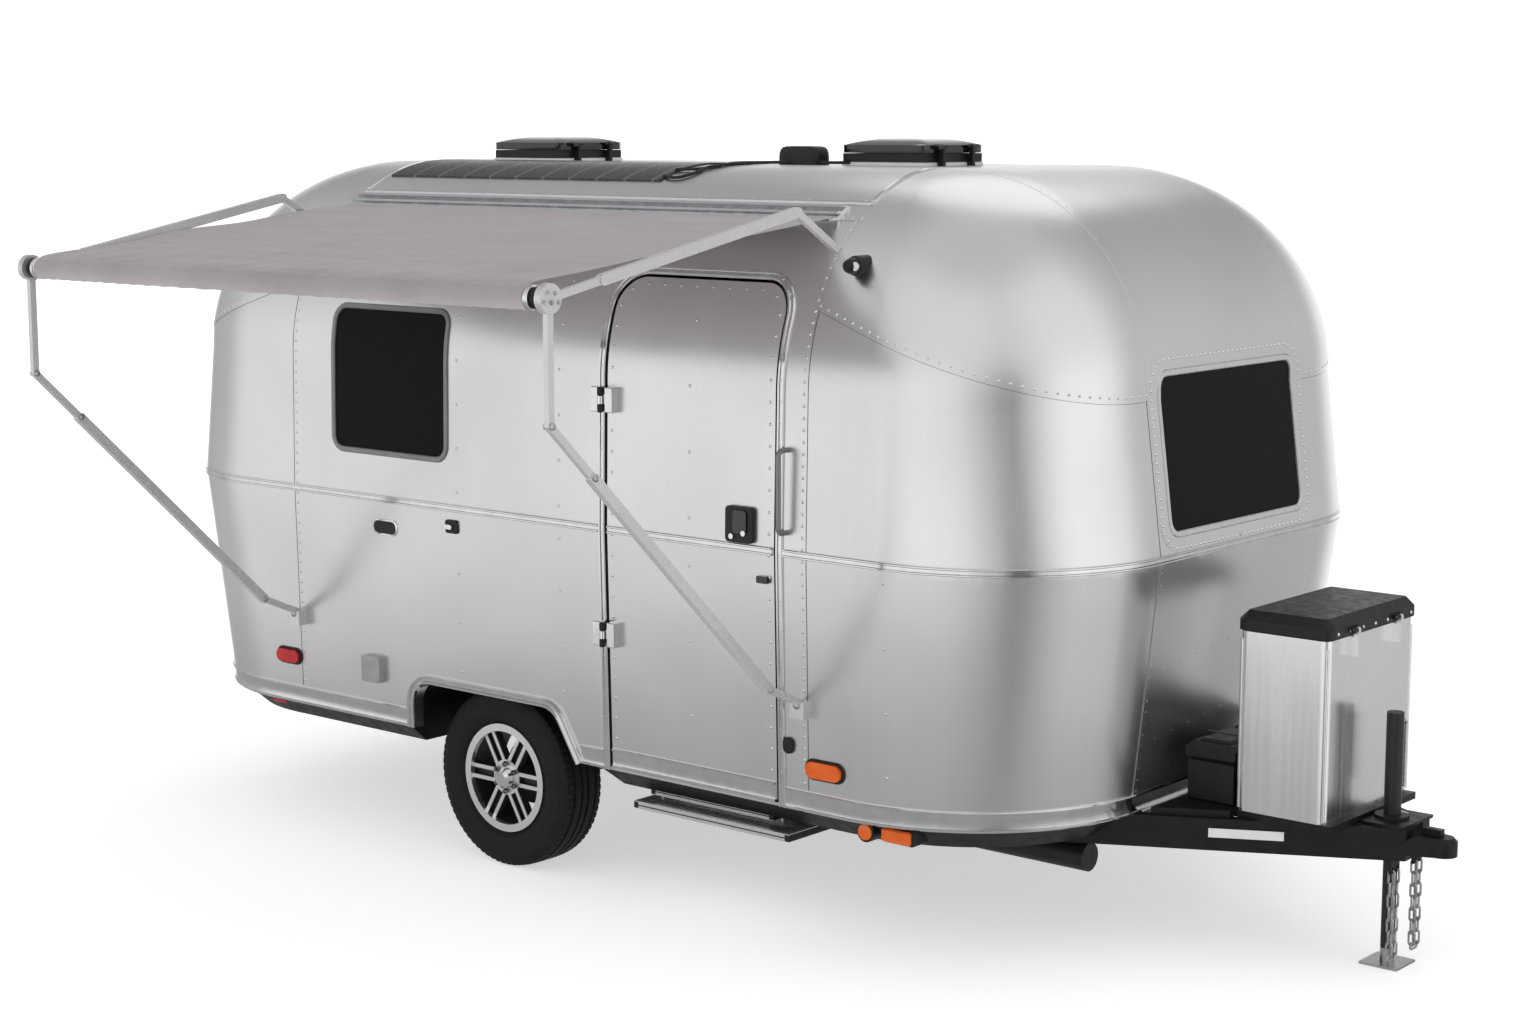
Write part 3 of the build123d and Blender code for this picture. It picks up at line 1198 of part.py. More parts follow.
with BuildPart() as porch_lamp:
    add(skin_band(0.0, PORCH_PROUD))
    porch_width = 2 * PORCH_RADIUS
    porch_outline = side_outline(PORCH_X, PORCH_HEIGHT, porch_width, porch_width, PORCH_RADIUS - 1)
    add(side_prism(porch_outline, RIGHT), mode=Mode.INTERSECT)
save(porch_lamp.part, "porch_lamp")

# Stabilisers folded up under the corners
with BuildPart() as stabilisers:
    for middle in STABILISER_PLACES:
        for side_name, side in SIDES:
            with Locations((ahead(middle), side * STABILISER_Y, up(BELLY_LOW))):
                Box(STABILISER_LENGTH, STABILISER_WIDE, STABILISER_TALL,
                    align=(Align.CENTER, Align.CENTER, Align.MAX))
    chamfer(stabilisers.faces().group_by(Axis.Z)[0].edges().filter_by(Axis.Y), STABILISER_TALL / 2)
save(stabilisers.part, "stabilisers")

# Tube for the waste hose, hung under the belly on two clips
with BuildPart() as hose_tube:
    tube_z = up(BELLY_LOW) - HOSE_CLIP - HOSE_TUBE_RADIUS
    with BuildSketch(Plane((ahead(HOSE_TUBE_REAR), HOSE_TUBE_Y, tube_z), x_dir=(0, 1, 0), z_dir=(1, 0, 0))):
        Circle(HOSE_TUBE_RADIUS)
    extrude(amount=HOSE_TUBE_FRONT - HOSE_TUBE_REAR)
    for clip_x in (HOSE_TUBE_REAR + HOSE_TUBE_RADIUS, HOSE_TUBE_FRONT - 3 * HOSE_TUBE_RADIUS):
        add(block(ahead(clip_x), ahead(clip_x) + HOSE_CLIP_WIDE, HOSE_TUBE_Y - HOSE_CLIP_WIDE / 2,
                  HOSE_TUBE_Y + HOSE_CLIP_WIDE / 2, tube_z, up(BELLY_LOW)))
save(hose_tube.part, "hose_tube")
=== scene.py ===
import math

import bmesh
import bpy
import numpy as np
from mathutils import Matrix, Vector


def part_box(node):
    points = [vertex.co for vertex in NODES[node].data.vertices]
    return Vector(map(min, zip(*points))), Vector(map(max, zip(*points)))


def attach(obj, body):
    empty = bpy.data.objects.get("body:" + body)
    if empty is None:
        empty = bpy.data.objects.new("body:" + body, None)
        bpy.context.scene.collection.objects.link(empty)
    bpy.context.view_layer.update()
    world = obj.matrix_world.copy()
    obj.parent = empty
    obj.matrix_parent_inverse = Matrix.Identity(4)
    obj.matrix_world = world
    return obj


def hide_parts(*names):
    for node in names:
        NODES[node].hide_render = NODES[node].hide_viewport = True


# A riveted aluminium travel caravan with its awning let out. Metres, in the frame of the CAD part:
# +X to the front, +Y to the left, +Z up. Heights are above the ground, distances ahead of the axle.
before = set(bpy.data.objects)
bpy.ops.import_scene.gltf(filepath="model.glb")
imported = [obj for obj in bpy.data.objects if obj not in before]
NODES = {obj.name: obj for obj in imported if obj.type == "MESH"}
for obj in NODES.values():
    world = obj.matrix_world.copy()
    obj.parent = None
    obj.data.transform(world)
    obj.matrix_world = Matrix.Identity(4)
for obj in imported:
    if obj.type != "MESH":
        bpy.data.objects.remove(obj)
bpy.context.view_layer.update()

wheel_low, wheel_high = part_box("tyre_right")
GROUND = wheel_low.z
AXLE_X = (wheel_low.x + wheel_high.x) / 2
WHEEL_RADIUS = (wheel_high.z - wheel_low.z) / 2
RIGHT = -1
LEFT = 1
BOTH = (RIGHT, LEFT)
ENDS = (1, -1)

# The skin's level sections, as the part has them
BODY_MIDDLE = 0.250
SILL_HEIGHT = 0.500
BELT_HEIGHT = 1.385
SHOULDER_HEIGHT = 1.910
SHOULDER_RADIUS = 0.750
ROOF_HALF_LENGTH = 1.460
ROOF_HALF_WIDTH = 0.450
ROOF_CORNER = 0.100
SHOULDER_CORNER = 0.630
ROOF_HEIGHT = SHOULDER_HEIGHT + SHOULDER_RADIUS
WALL_SECTIONS = np.array((
    # height, half length, half width, corner radius
    (SILL_HEIGHT, 2.180, 1.190, 0.700),
    (BELT_HEIGHT, 2.280, 1.210, 0.650),
    (SHOULDER_HEIGHT, ROOF_HALF_LENGTH + SHOULDER_RADIUS, ROOF_HALF_WIDTH + SHOULDER_RADIUS, SHOULDER_CORNER),
))
SEAM_REAR = -1.050
SEAM_FRONT = 1.575
END_PANEL_HALF = 0.520
ROOF_EDGE = 2.490
CORNER_SEAM_HEIGHT = 2.200
CORNER_SEAM_FALL = 0.33

# Door, windows, wheel arches and mouldings
DOOR_REAR = 0.661
DOOR_FRONT = 1.435
DOOR_TOP = 2.282
DOOR_CORNER = 0.110
DOOR_GAP = 0.010
DOOR_FRAME = 0.030
SIDE_WINDOWS = (
    # side, middle ahead of the axle
    (RIGHT, -0.490),
    (LEFT, -0.490),
    (LEFT, 1.000),
)
SIDE_WINDOW = (0.660, 0.580, 0.065)
SIDE_WINDOW_HEIGHT = 1.840
END_WINDOW = (0.920, 0.560, 0.060)
END_WINDOW_HEIGHT = 1.725
WINDOW_FRAME = 0.022
ARCH_REAR = -0.390
ARCH_FRONT = 0.360
ARCH_HEIGHT = 0.684
ARCH_SLANT = 0.110
ARCH_CORNER = 0.090
ARCH_TRIM = 0.036
SILL_TRIM = 0.072
SILL_TOP = SILL_HEIGHT + SILL_TRIM
SILL_MIDDLE = SILL_HEIGHT + SILL_TRIM / 2

# Finding places on the skin
RAY_HEIGHT = 1.5
RAY_REACH = 4.0
RAY_HALVINGS = 40
SETTLE_PASSES = 4
OUTLINE_STEP = 0.02


def ahead(distance):
    """X of a distance ahead of the axle."""
    return AXLE_X + distance


def up(height):
    """Z of a height above the ground."""
    return GROUND + height


def at(distance, across, height):
    """A place, by its distance ahead of the axle, across and its height."""
    return ahead(distance), across, up(height)


def section(height):
    """Half length, half width and corner radius of the skin at some heights."""
    walls = [np.interp(height, WALL_SECTIONS[:, 0], WALL_SECTIONS[:, k]) for k in (1, 2, 3)]
    rise = np.clip((height - SHOULDER_HEIGHT) / SHOULDER_RADIUS, 0, 1)
    lean = np.sqrt(1 - rise ** 2)
    dome = (ROOF_HALF_LENGTH + SHOULDER_RADIUS * lean, ROOF_HALF_WIDTH + SHOULDER_RADIUS * lean,
            ROOF_CORNER + (SHOULDER_CORNER - ROOF_CORNER) * lean)
    return [np.where(height > SHOULDER_HEIGHT, d, w) for d, w in zip(dome, walls)]


def outside(points):
    """How far points lie outside the skin, measured level, or above the roof."""
    x = np.abs(points[:, 0] - ahead(BODY_MIDDLE))
    y = np.abs(points[:, 1])
    height = points[:, 2] - GROUND
    half_length, half_width, corner = section(height)
    past_x = x - half_length + corner
    past_y = y - half_width + corner
    level = np.hypot(np.maximum(past_x, 0), np.maximum(past_y, 0)) + np.minimum(np.maximum(past_x, past_y), 0)
    return np.maximum(level - corner, height - ROOF_HEIGHT)


def slope(points, step=0.0015):
    """The gradient of outside() at points."""
    shifts = np.eye(3) * step
    return np.stack([(outside(points + s) - outside(points - s)) / (2 * step) for s in shifts], axis=1)


def unit(vectors):
    """Vectors made one long."""
    return vectors / np.maximum(np.linalg.norm(vectors, axis=-1, keepdims=True), 1e-9)


def skin_normals(points):
    """Unit normals of the skin near points."""
    return unit(slope(np.asarray(points)))


def settle(points, proud=0.0):
    """Moves points near the skin onto it, or proud of it."""
    points = np.array(points, dtype=float)
    for number in range(SETTLE_PASSES):
        gradient = slope(points)
        steep = np.maximum((gradient ** 2).sum(axis=1), 1e-9)
        points -= gradient * (outside(points) / steep)[:, None]
    return points + skin_normals(points) * proud


def cast(starts, directions):
    """Where rays from inside the body meet the skin."""
    near = np.zeros(len(directions))
    far = np.full(len(directions), RAY_REACH)
    for number in range(RAY_HALVINGS):
        middle = (near + far) / 2
        out = outside(starts + directions * middle[:, None]) > 0
        far = np.where(out, middle, far)
        near = np.where(out, near, middle)
    return starts + directions * far[:, None]


def walk(path, pitch):
    """Points at an even pitch along a path."""
    path = np.asarray(path)
    runs = np.concatenate(([0], np.cumsum(np.linalg.norm(np.diff(path, axis=0), axis=1))))
    places = np.linspace(0, runs[-1], max(2, int(round(runs[-1] / pitch)) + 1))
    return np.stack([np.interp(places, runs, path[:, k]) for k in range(path.shape[1])], axis=1)


def plane_path(start, first, second, turn_low, turn_high, count=400):
    """The skin's line in a plane through start, from one angle to another, in degrees."""
    turns = np.radians(np.linspace(turn_low, turn_high, count))[:, None]
    directions = unit(np.cos(turns) * np.array(first, dtype=float) + np.sin(turns) * np.array(second, dtype=float))
    return cast(np.tile(np.array(start, dtype=float), (count, 1)), directions)


def upright_path(distance, side, low, high):
    """The skin's line across one side at a distance, between two heights."""
    path = plane_path(at(distance, 0, RAY_HEIGHT), (0, side, 0), (0, 0, 1), -60, 90)
    height = path[:, 2] - GROUND
    return path[(height >= low) & (height <= high)]


def turn_of(distance, side, height):
    """The angle, seen from the body's middle, of a place on a side wall."""
    half_width = float(section(np.array([height]))[1][0])
    return math.degrees(math.atan2(side * half_width, distance - BODY_MIDDLE))


def level_path(height, turn_low, turn_high, pitch=0.02):
    """The skin's level line at a height, between two angles seen from the body's middle."""
    path = plane_path(at(BODY_MIDDLE, 0, height), (1, 0, 0), (0, 1, 0), turn_low, turn_high, 900)
    return walk(path, pitch)


def rounded_line(points, radius, count=8):
    """A line through flat points with its inner corners rounded."""
    points = [np.array(p, dtype=float) for p in points]
    line = [points[0]]
    for before, corner, after in zip(points, points[1:], points[2:]):
        back, on = unit(before - corner), unit(after - corner)
        half = math.acos(float(np.clip(back @ on, -1, 1))) / 2
        start = corner + back * radius / math.tan(half)
        centre = corner + unit(back + on) * radius / math.sin(half)
        stop = corner + on * radius / math.tan(half)
        for share in np.linspace(0, 1, count):
            line.append(centre + unit(start * (1 - share) + stop * share - centre) * radius)
    return line + [points[-1]]


def rounded_outline(width, tall, corner):
    """A rounded rectangle round the origin, as a closed flat line."""
    u, v = width / 2, tall / 2
    corners = [(0, -v), (u, -v), (u, v), (-u, v), (-u, -v), (0, -v)]
    return rounded_line(corners, corner)


def finely(outline):
    """A flat outline in short steps, so that it follows the skin between its corners."""
    around = np.linalg.norm(np.diff(np.asarray(outline), axis=0), axis=1).sum()
    return walk(outline, min(OUTLINE_STEP, around / 40))


def side_path(outline, middle, height, side):
    """A flat outline put on a side wall."""
    starts = np.array([at(middle + u, 0, height + v) for u, v in finely(outline)])
    return cast(starts, np.tile((0.0, float(side), 0.0), (len(starts), 1)))


def end_path(outline, height, end, across=0.0):
    """A flat outline put on the front or the rear."""
    starts = np.array([at(BODY_MIDDLE, across + u, height + v) for u, v in finely(outline)])
    return cast(starts, np.tile((float(end), 0.0, 0.0), (len(starts), 1)))


# Materials
NOISE = "ShaderNodeTexNoise"
WAVE = "ShaderNodeTexWave"
VORONOI = "ShaderNodeTexVoronoi"
BUMP = 0.35


def set_sockets(node, values):
    """Sets input sockets by name, with _ for a space."""
    for socket, value in values.items():
        node.inputs[socket.replace("_", " ")].default_value = value


def add_node(tree, kind, feeds=(), **values):
    """A shader node with socket values set, and outputs linked to the sockets that they feed."""
    node = tree.nodes.new(kind)
    set_sockets(node, values)
    for socket, output in feeds:
        tree.links.new(output, node.inputs[socket])
    return node


def new_material(name, **values):
    """A material, its node tree and its shader's sockets, with some of them set."""
    material = bpy.data.materials.new(name)
    material.use_nodes = True
    shader = material.node_tree.nodes["Principled BSDF"]
    set_sockets(shader, values)
    return material, material.node_tree, shader.inputs


def texture(tree, kind, scale, stretch=(1, 1, 1), out="Fac", **values):
    """A texture's value in object coordinates, stretched by axis."""
    place = add_node(tree, "ShaderNodeTexCoord").outputs["Object"]
    mapping = add_node(tree, "ShaderNodeMapping", [("Vector", place)], Scale=stretch)
    return add_node(tree, kind, [("Vector", mapping.outputs["Vector"])], Scale=scale, **values).outputs[out]


def spread(tree, source, socket, low, high, start=0.3, stop=0.7):
    """Maps a value onto a range, and that onto a socket if there is one."""
    node = add_node(tree, "ShaderNodeMapRange", [("Value", source)],
                    From_Min=start, From_Max=stop, To_Min=low, To_Max=high)
    node.interpolation_type = "SMOOTHSTEP"
    if socket:
        tree.links.new(node.outputs["Result"], socket)
    return node.outputs["Result"]


def tint(tree, source, socket, dark, light, start=0.3, stop=0.7):
    """Mixes two colours by a value."""
    ramp = add_node(tree, "ShaderNodeValToRGB", [("Fac", source)])
    for element, place, colour in zip(ramp.color_ramp.elements, (start, stop), (dark, light)):
        element.position = place
        element.color = (*colour, 1)
    tree.links.new(ramp.outputs["Color"], socket)


def blend(tree, share):
    """A node that mixes two colours, A and B, by a share."""
    mix = add_node(tree, "ShaderNodeMix")
    mix.data_type = "RGBA"
    tree.links.new(share, mix.inputs["Factor"])
    return mix


def bump(tree, source, strength, distance, after=None):
    """Adds a bump to the shader's normal, over an earlier one."""
    node = add_node(tree, "ShaderNodeBump", [("Height", source)], Strength=strength, Distance=distance)
    if after:
        tree.links.new(after.outputs["Normal"], node.inputs["Normal"])
    tree.links.new(node.outputs["Normal"], tree.nodes["Principled BSDF"].inputs["Normal"])
    return node


def grainy(name, dark, light, roughness, grain, depth, metallic=0.0, stretch=(1, 1, 1), coat=0.0, specular=0.5):
    """A material with a mottled colour, an uneven gloss and a fine grain."""
    material, tree, sockets = new_material(name, Metallic=metallic, Coat_Weight=coat, Specular_IOR_Level=specular)
    mottle = texture(tree, NOISE, grain / 12, stretch, Detail=5.0)
    fine = texture(tree, NOISE, grain, stretch, Detail=3.0)
    tint(tree, mottle, sockets["Base Color"], dark, light)
    spread(tree, mottle, sockets["Roughness"], *roughness)
    bump(tree, fine, BUMP, depth)
    return material


def sheet_metal(name, dark, light, roughness):
    """Polished sheet: faint rolling marks up the panels, soft waves and a few small dents."""
    material, tree, sockets = new_material(name, Metallic=1.0)
    streaks = texture(tree, NOISE, 36.0, (1.0, 1.0, 0.02), Detail=1.0)
    waves = texture(tree, NOISE, 1.7, Detail=1.0)
    spots = texture(tree, VORONOI, 2.3, out="Distance")
    tint(tree, waves, sockets["Base Color"], dark, light)
    spread(tree, streaks, sockets["Roughness"], *roughness)
    rolled = bump(tree, waves, 0.22, 0.03)
    bump(tree, spread(tree, spots, None, 0.0, 1.0, 0.0, 0.045), 0.5, 0.002, rolled)
    return material


def two_finishes(name, axis, edge, face_dark, face_light, face_gloss, back):
    """Bright metal on what lies beyond an edge along one axis, dull black paint before it."""
    material, tree, sockets = new_material(name)
    place = add_node(tree, "ShaderNodeTexCoord").outputs["Object"]
    beyond = add_node(tree, "ShaderNodeSeparateXYZ", [("Vector", place)]).outputs[axis[-1]]
    if len(axis) > 1:
        turned = add_node(tree, "ShaderNodeMath", [(0, beyond)])
        turned.operation = "ABSOLUTE" if axis[0] == "|" else "MULTIPLY"
        turned.inputs[1].default_value = -1.0
        beyond = turned.outputs["Value"]
    face = spread(tree, beyond, sockets["Metallic"], 0.1, 1.0, edge - 0.001, edge)
    spread(tree, face, sockets["Roughness"], 0.45, face_gloss, 0.1, 1.0)
    grain = texture(tree, NOISE, 160.0, Detail=4.0)
    mix = blend(tree, spread(tree, face, None, 0.0, 1.0, 0.1, 1.0))
    mix.inputs["A"].default_value = (*back, 1)
    tint(tree, grain, mix.inputs["B"], face_dark, face_light)
    tree.links.new(mix.outputs["Result"], sockets["Base Color"])
    bump(tree, grain, 0.2, 0.0002)
    return material


def cloth():
    """Woven acrylic cloth: a fine two-way weave and a mottled grey-brown."""
    material, tree, sockets = new_material("awning_cloth", Sheen_Weight=0.3, Sheen_Roughness=0.5)
    mottle = texture(tree, NOISE, 3.0, (1, 3, 1), Detail=6.0)
    warp = texture(tree, WAVE, 160.0)
    weft = texture(tree, WAVE, 160.0, (0, 1, 0))
    tint(tree, mottle, sockets["Base Color"], (0.362, 0.326, 0.342), (0.446, 0.408, 0.426))
    spread(tree, mottle, sockets["Roughness"], 0.75, 0.9)
    bump(tree, weft, 0.12, 0.0004, bump(tree, warp, 0.12, 0.0004))
    return material


def solar():
    """Solar cells: near-black, with fine pale lines between the cells."""
    material, tree, sockets = new_material("solar_cells", Coat_Weight=0.15)
    cells = texture(tree, WAVE, 2.2)
    fine = texture(tree, NOISE, 60.0, Detail=3.0)
    tint(tree, cells, sockets["Base Color"], (0.16, 0.16, 0.17), (0.020, 0.020, 0.024), 0.004, 0.02)
    spread(tree, fine, sockets["Roughness"], 0.34, 0.46)
    bump(tree, fine, 0.2, 0.0003)
    return material


SKIN = sheet_metal("polished_sheet", (0.76, 0.76, 0.77), (0.82, 0.82, 0.83), (0.285, 0.305))
MIRROR = sheet_metal("mirror_sheet", (0.90, 0.90, 0.91), (0.96, 0.96, 0.97), (0.20, 0.28))
TRIM = grainy("bright_trim", (0.72, 0.73, 0.74), (0.82, 0.82, 0.83), (0.07, 0.13), 240.0, 0.0002, 1.0)
SATIN = grainy("satin_extrusion", (0.68, 0.68, 0.69), (0.72, 0.72, 0.73), (0.25, 0.28), 220.0, 0.0001, 0.65)
WINDOW_GREY = grainy("window_grey", (0.22, 0.22, 0.225), (0.28, 0.28, 0.285), (0.30, 0.40), 200.0, 0.0002, 0.7)
CHROME = grainy("chrome_plate", (0.78, 0.78, 0.79), (0.88, 0.88, 0.88), (0.06, 0.12), 90.0, 0.0001, 1.0)
ZINC = grainy("zinc_plate", (0.40, 0.40, 0.40), (0.62, 0.62, 0.61), (0.26, 0.42), 160.0, 0.0003, 1.0)
BLACK_STEEL = grainy("black_paint", (0.005, 0.005, 0.0055), (0.010, 0.010, 0.0105), (0.34, 0.5), 260.0, 0.0004,
                     specular=0.3)
BLACK_PLASTIC = grainy("black_plastic", (0.008, 0.008, 0.0085), (0.015, 0.015, 0.0155), (0.36, 0.5), 420.0, 0.0004,
                       specular=0.35)
GLOSS_BLACK = grainy("gloss_black", (0.005, 0.005, 0.006), (0.009, 0.009, 0.011), (0.05, 0.10), 120.0, 0.0001,
                     coat=0.5)
DARK_CHROME = grainy("dark_chrome", (0.10, 0.10, 0.105), (0.20, 0.20, 0.205), (0.10, 0.18), 120.0, 0.0001, 1.0)
CAST_GREY = grainy("cast_grey", (0.36, 0.37, 0.38), (0.48, 0.48, 0.49), (0.35, 0.5), 220.0, 0.0004, 0.7)
GLASS = grainy("dark_glass", (0.0080, 0.0080, 0.0084), (0.0095, 0.0095, 0.0099), (0.3, 0.36), 6.0, 0.0001,
               specular=0.05)
RUBBER = grainy("tyre_rubber", (0.0065, 0.0065, 0.0065), (0.012, 0.012, 0.012), (0.55, 0.72), 260.0, 0.0006,
                specular=0.25)
AMBER = grainy("amber_lens", (0.70, 0.10, 0.006), (0.80, 0.15, 0.010), (0.12, 0.2), 180.0, 0.0006, coat=0.3)
RED = grainy("red_lens", (0.42, 0.004, 0.006), (0.55, 0.008, 0.010), (0.12, 0.2), 180.0, 0.0006, coat=0.2)
PLY = grainy("ply_floor", (0.40, 0.28, 0.18), (0.50, 0.36, 0.24), (0.5, 0.65), 60.0, 0.0004, stretch=(0.1, 1, 1))
WHITE_PAINT = grainy("white_paint", (0.72, 0.72, 0.72), (0.80, 0.80, 0.80), (0.25, 0.35), 140.0, 0.0002, coat=0.3)
SOLAR = solar()
CLOTH = cloth()
SPOKE_FACE = 1.084
WHEEL_ALLOY = two_finishes("wheel_alloy", "|Y", SPOKE_FACE - 0.004, (0.92, 0.93, 0.94), (0.99, 0.99, 1.0), 0.34,
                           (0.02, 0.02, 0.021))
HUB_FINISH = two_finishes("hub_finish", "|Y", SPOKE_FACE - 0.02, (0.78, 0.78, 0.79), (0.88, 0.88, 0.88), 0.10,
                          (0.03, 0.03, 0.03))
CRANK_SIDE = 0.040
JACK_FINISH = two_finishes("jack_finish", "Y", CRANK_SIDE, (0.50, 0.50, 0.51), (0.64, 0.64, 0.65), 0.25,
                           (0.014, 0.014, 0.015))
FOOT_TOP = 0.055
LEG_FINISH = two_finishes("leg_finish", "-Z", -up(FOOT_TOP), (0.42, 0.42, 0.43), (0.60, 0.60, 0.61), 0.32,
                          (0.014, 0.014, 0.015))


def dress(material, *nodes):
    """Gives CAD nodes a material."""
    for node in nodes:
        slots = NODES[node].data.materials
        slots.clear()
        slots.append(material)


# Making pieces
ODD_WAY = (0.31, 0.57, 0.76)
PLATE_SUNK = 0.001
PLATE_INSET = 0.04
PLATE_SHOULDER = 0.6


def circle(count):
    """Angles evenly round a circle."""
    return np.linspace(0, 2 * math.pi, count, endpoint=False)


def round_ring(centre, radius, side, other, count):
    """Points round a circle in the plane of two directions."""
    return [centre + radius * (math.cos(t) * side + math.sin(t) * other) for t in circle(count)]


def square_ways(axis):
    """Two directions square to an axis."""
    side = unit(np.cross(axis, ODD_WAY))
    return side, np.cross(axis, side)


def ways_along(path, closed):
    """The way along a path at each of its points."""
    return np.roll(path, -1, axis=0) - np.roll(path, 1, axis=0) if closed else np.gradient(path, axis=0)


def mirrored(*half):
    """A profile made whole by its mirror image."""
    return half + tuple((-row[0], *row[1:]) for row in reversed(half))


def scaled_ring(outline, middle, scale, z):
    """A level flat outline, drawn in and put at a height."""
    return [(middle.x + u * scale, middle.y + v * scale, z) for u, v in outline]


def add_object(name, data):
    """A new object in the scene."""
    made = bpy.data.objects.new(name, data)
    bpy.context.scene.collection.objects.link(made)
    return made


def piece(name, mesh, material, body="coach", replaced=()):
    """A new object from a mesh, riding on a body, in its material's slot."""
    made = add_object(name, mesh)
    mesh.materials.clear()
    mesh.materials.append(material)
    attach(made, body)
    if replaced:
        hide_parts(*replaced)
    return made


class Form:
    """Points and faces gathered from simple forms, made into one piece at the end."""
    every = []

    def __init__(self, name, material, body="coach", replaced=(), sharp=35, slot=None):
        self.points = []
        self.faces = []
        self.name, self.material, self.sharp = name, material, sharp
        self.body, self.replaced, self.slot = body, replaced, slot
        Form.every.append(self)

    def rings(self, rings, closed=False):
        """Joins rings of points one after the other, with end caps unless they close."""
        base, count = len(self.points), len(rings[0])
        for ring in rings:
            self.points.extend(tuple(p) for p in ring)
        for i in range(len(rings) if closed else len(rings) - 1):
            here, there = base + i * count, base + (i + 1) % len(rings) * count
            for k in range(count):
                m = (k + 1) % count
                self.faces.append((here + k, here + m, there + m, there + k))
        if not closed:
            last = base + (len(rings) - 1) * count
            self.faces.append(tuple(base + k for k in reversed(range(count))))
            self.faces.append(tuple(last + k for k in range(count)))

    def strip(self, path, profile, closed=False):
        """A moulding with a profile (across, proud), along a path on the skin."""
        path = np.asarray(path)[:-1] if closed else np.asarray(path)
        normals = skin_normals(path)
        across = unit(np.cross(unit(ways_along(path, closed)), normals))
        self.rings([[p + a * u + n * v for u, v in profile] for p, a, n in zip(path, across, normals)], closed)

    def tube(self, path, radius, sides, closed=False):
        """A round bar along a path."""
        path = np.asarray(path, dtype=float)
        along = ways_along(path, closed)
        side = square_ways(along[0])[0]
        rings = []
        for point, way in zip(path, unit(along)):
            side = unit(side - way * (side @ way))
            rings.append(round_ring(point, radius, side, np.cross(way, side), sides))
        self.rings(rings, closed)

    def lathe(self, centre, axis, profile, sides):
        """A turned form: profile rows are (along the axis, radius)."""
        axis = unit(np.array(axis, dtype=float))
        side, other = square_ways(axis)
        self.rings([round_ring(np.array(centre) + axis * a, r, side, other, sides) for a, r in profile])

    def box(self, corner, opposite, bevel=0.0):
        """A block between two corners, with its top and bottom edges bevelled."""
        (x0, x1), (y0, y1), (z0, z1) = (sorted(ends) for ends in zip(corner, opposite))
        steps = [(z0, bevel), (z0 + bevel, 0), (z1 - bevel, 0), (z1, bevel)] if bevel else [(z0, 0), (z1, 0)]
        self.rings([[(x0 + inset, y0 + inset, z), (x1 - inset, y0 + inset, z),
                     (x1 - inset, y1 - inset, z), (x0 + inset, y1 - inset, z)] for z, inset in steps])

    def plate(self, path, proud):
        """A plate on the skin inside a closed outline on it."""
        path = np.asarray(path)[:-1]
        normals = skin_normals(path)
        rim = path + (path.mean(axis=0) - path) * PLATE_INSET
        self.rings([path - normals * PLATE_SUNK, path + normals * proud * PLATE_SHOULDER, rim + normals * proud])

    def domes(self, places, normals, radius, rise):
        """Round heads standing on places."""
        profile = ((-rise / 2, radius), (rise * 0.3, radius * 0.95), (rise, radius * 0.4))
        for place, normal in zip(places, normals):
            self.lathe(place, normal, profile, 8)

    def rivets(self, path, pitch, radius=0.006, rise=0.003):
        """Rivet heads at a pitch along a path on the skin."""
        places = walk(path, pitch)
        self.domes(places, skin_normals(places), radius, rise)

    def piece(self):
        """The finished piece, smooth except at edges sharper than an angle in degrees."""
        mesh = bpy.data.meshes.new(self.name)
        mesh.from_pydata(self.points, [], self.faces)
        form = bmesh.new()
        form.from_mesh(mesh)
        bmesh.ops.recalc_face_normals(form, faces=form.faces)
        form.to_mesh(mesh)
        form.free()
        mesh.polygons.foreach_set("use_smooth", [True] * len(mesh.polygons))
        mesh.set_sharp_from_angle(angle=math.radians(self.sharp))
        piece(self.name, mesh, self.material, self.body, self.replaced)


# Body panels: the part's outlines on the exact skin, each lapping a little over its neighbour
SKIN_EDGE = 0.05
SKIN_NEAR = 0.004
SPLIT_PASSES = 7
FACING = 0.8


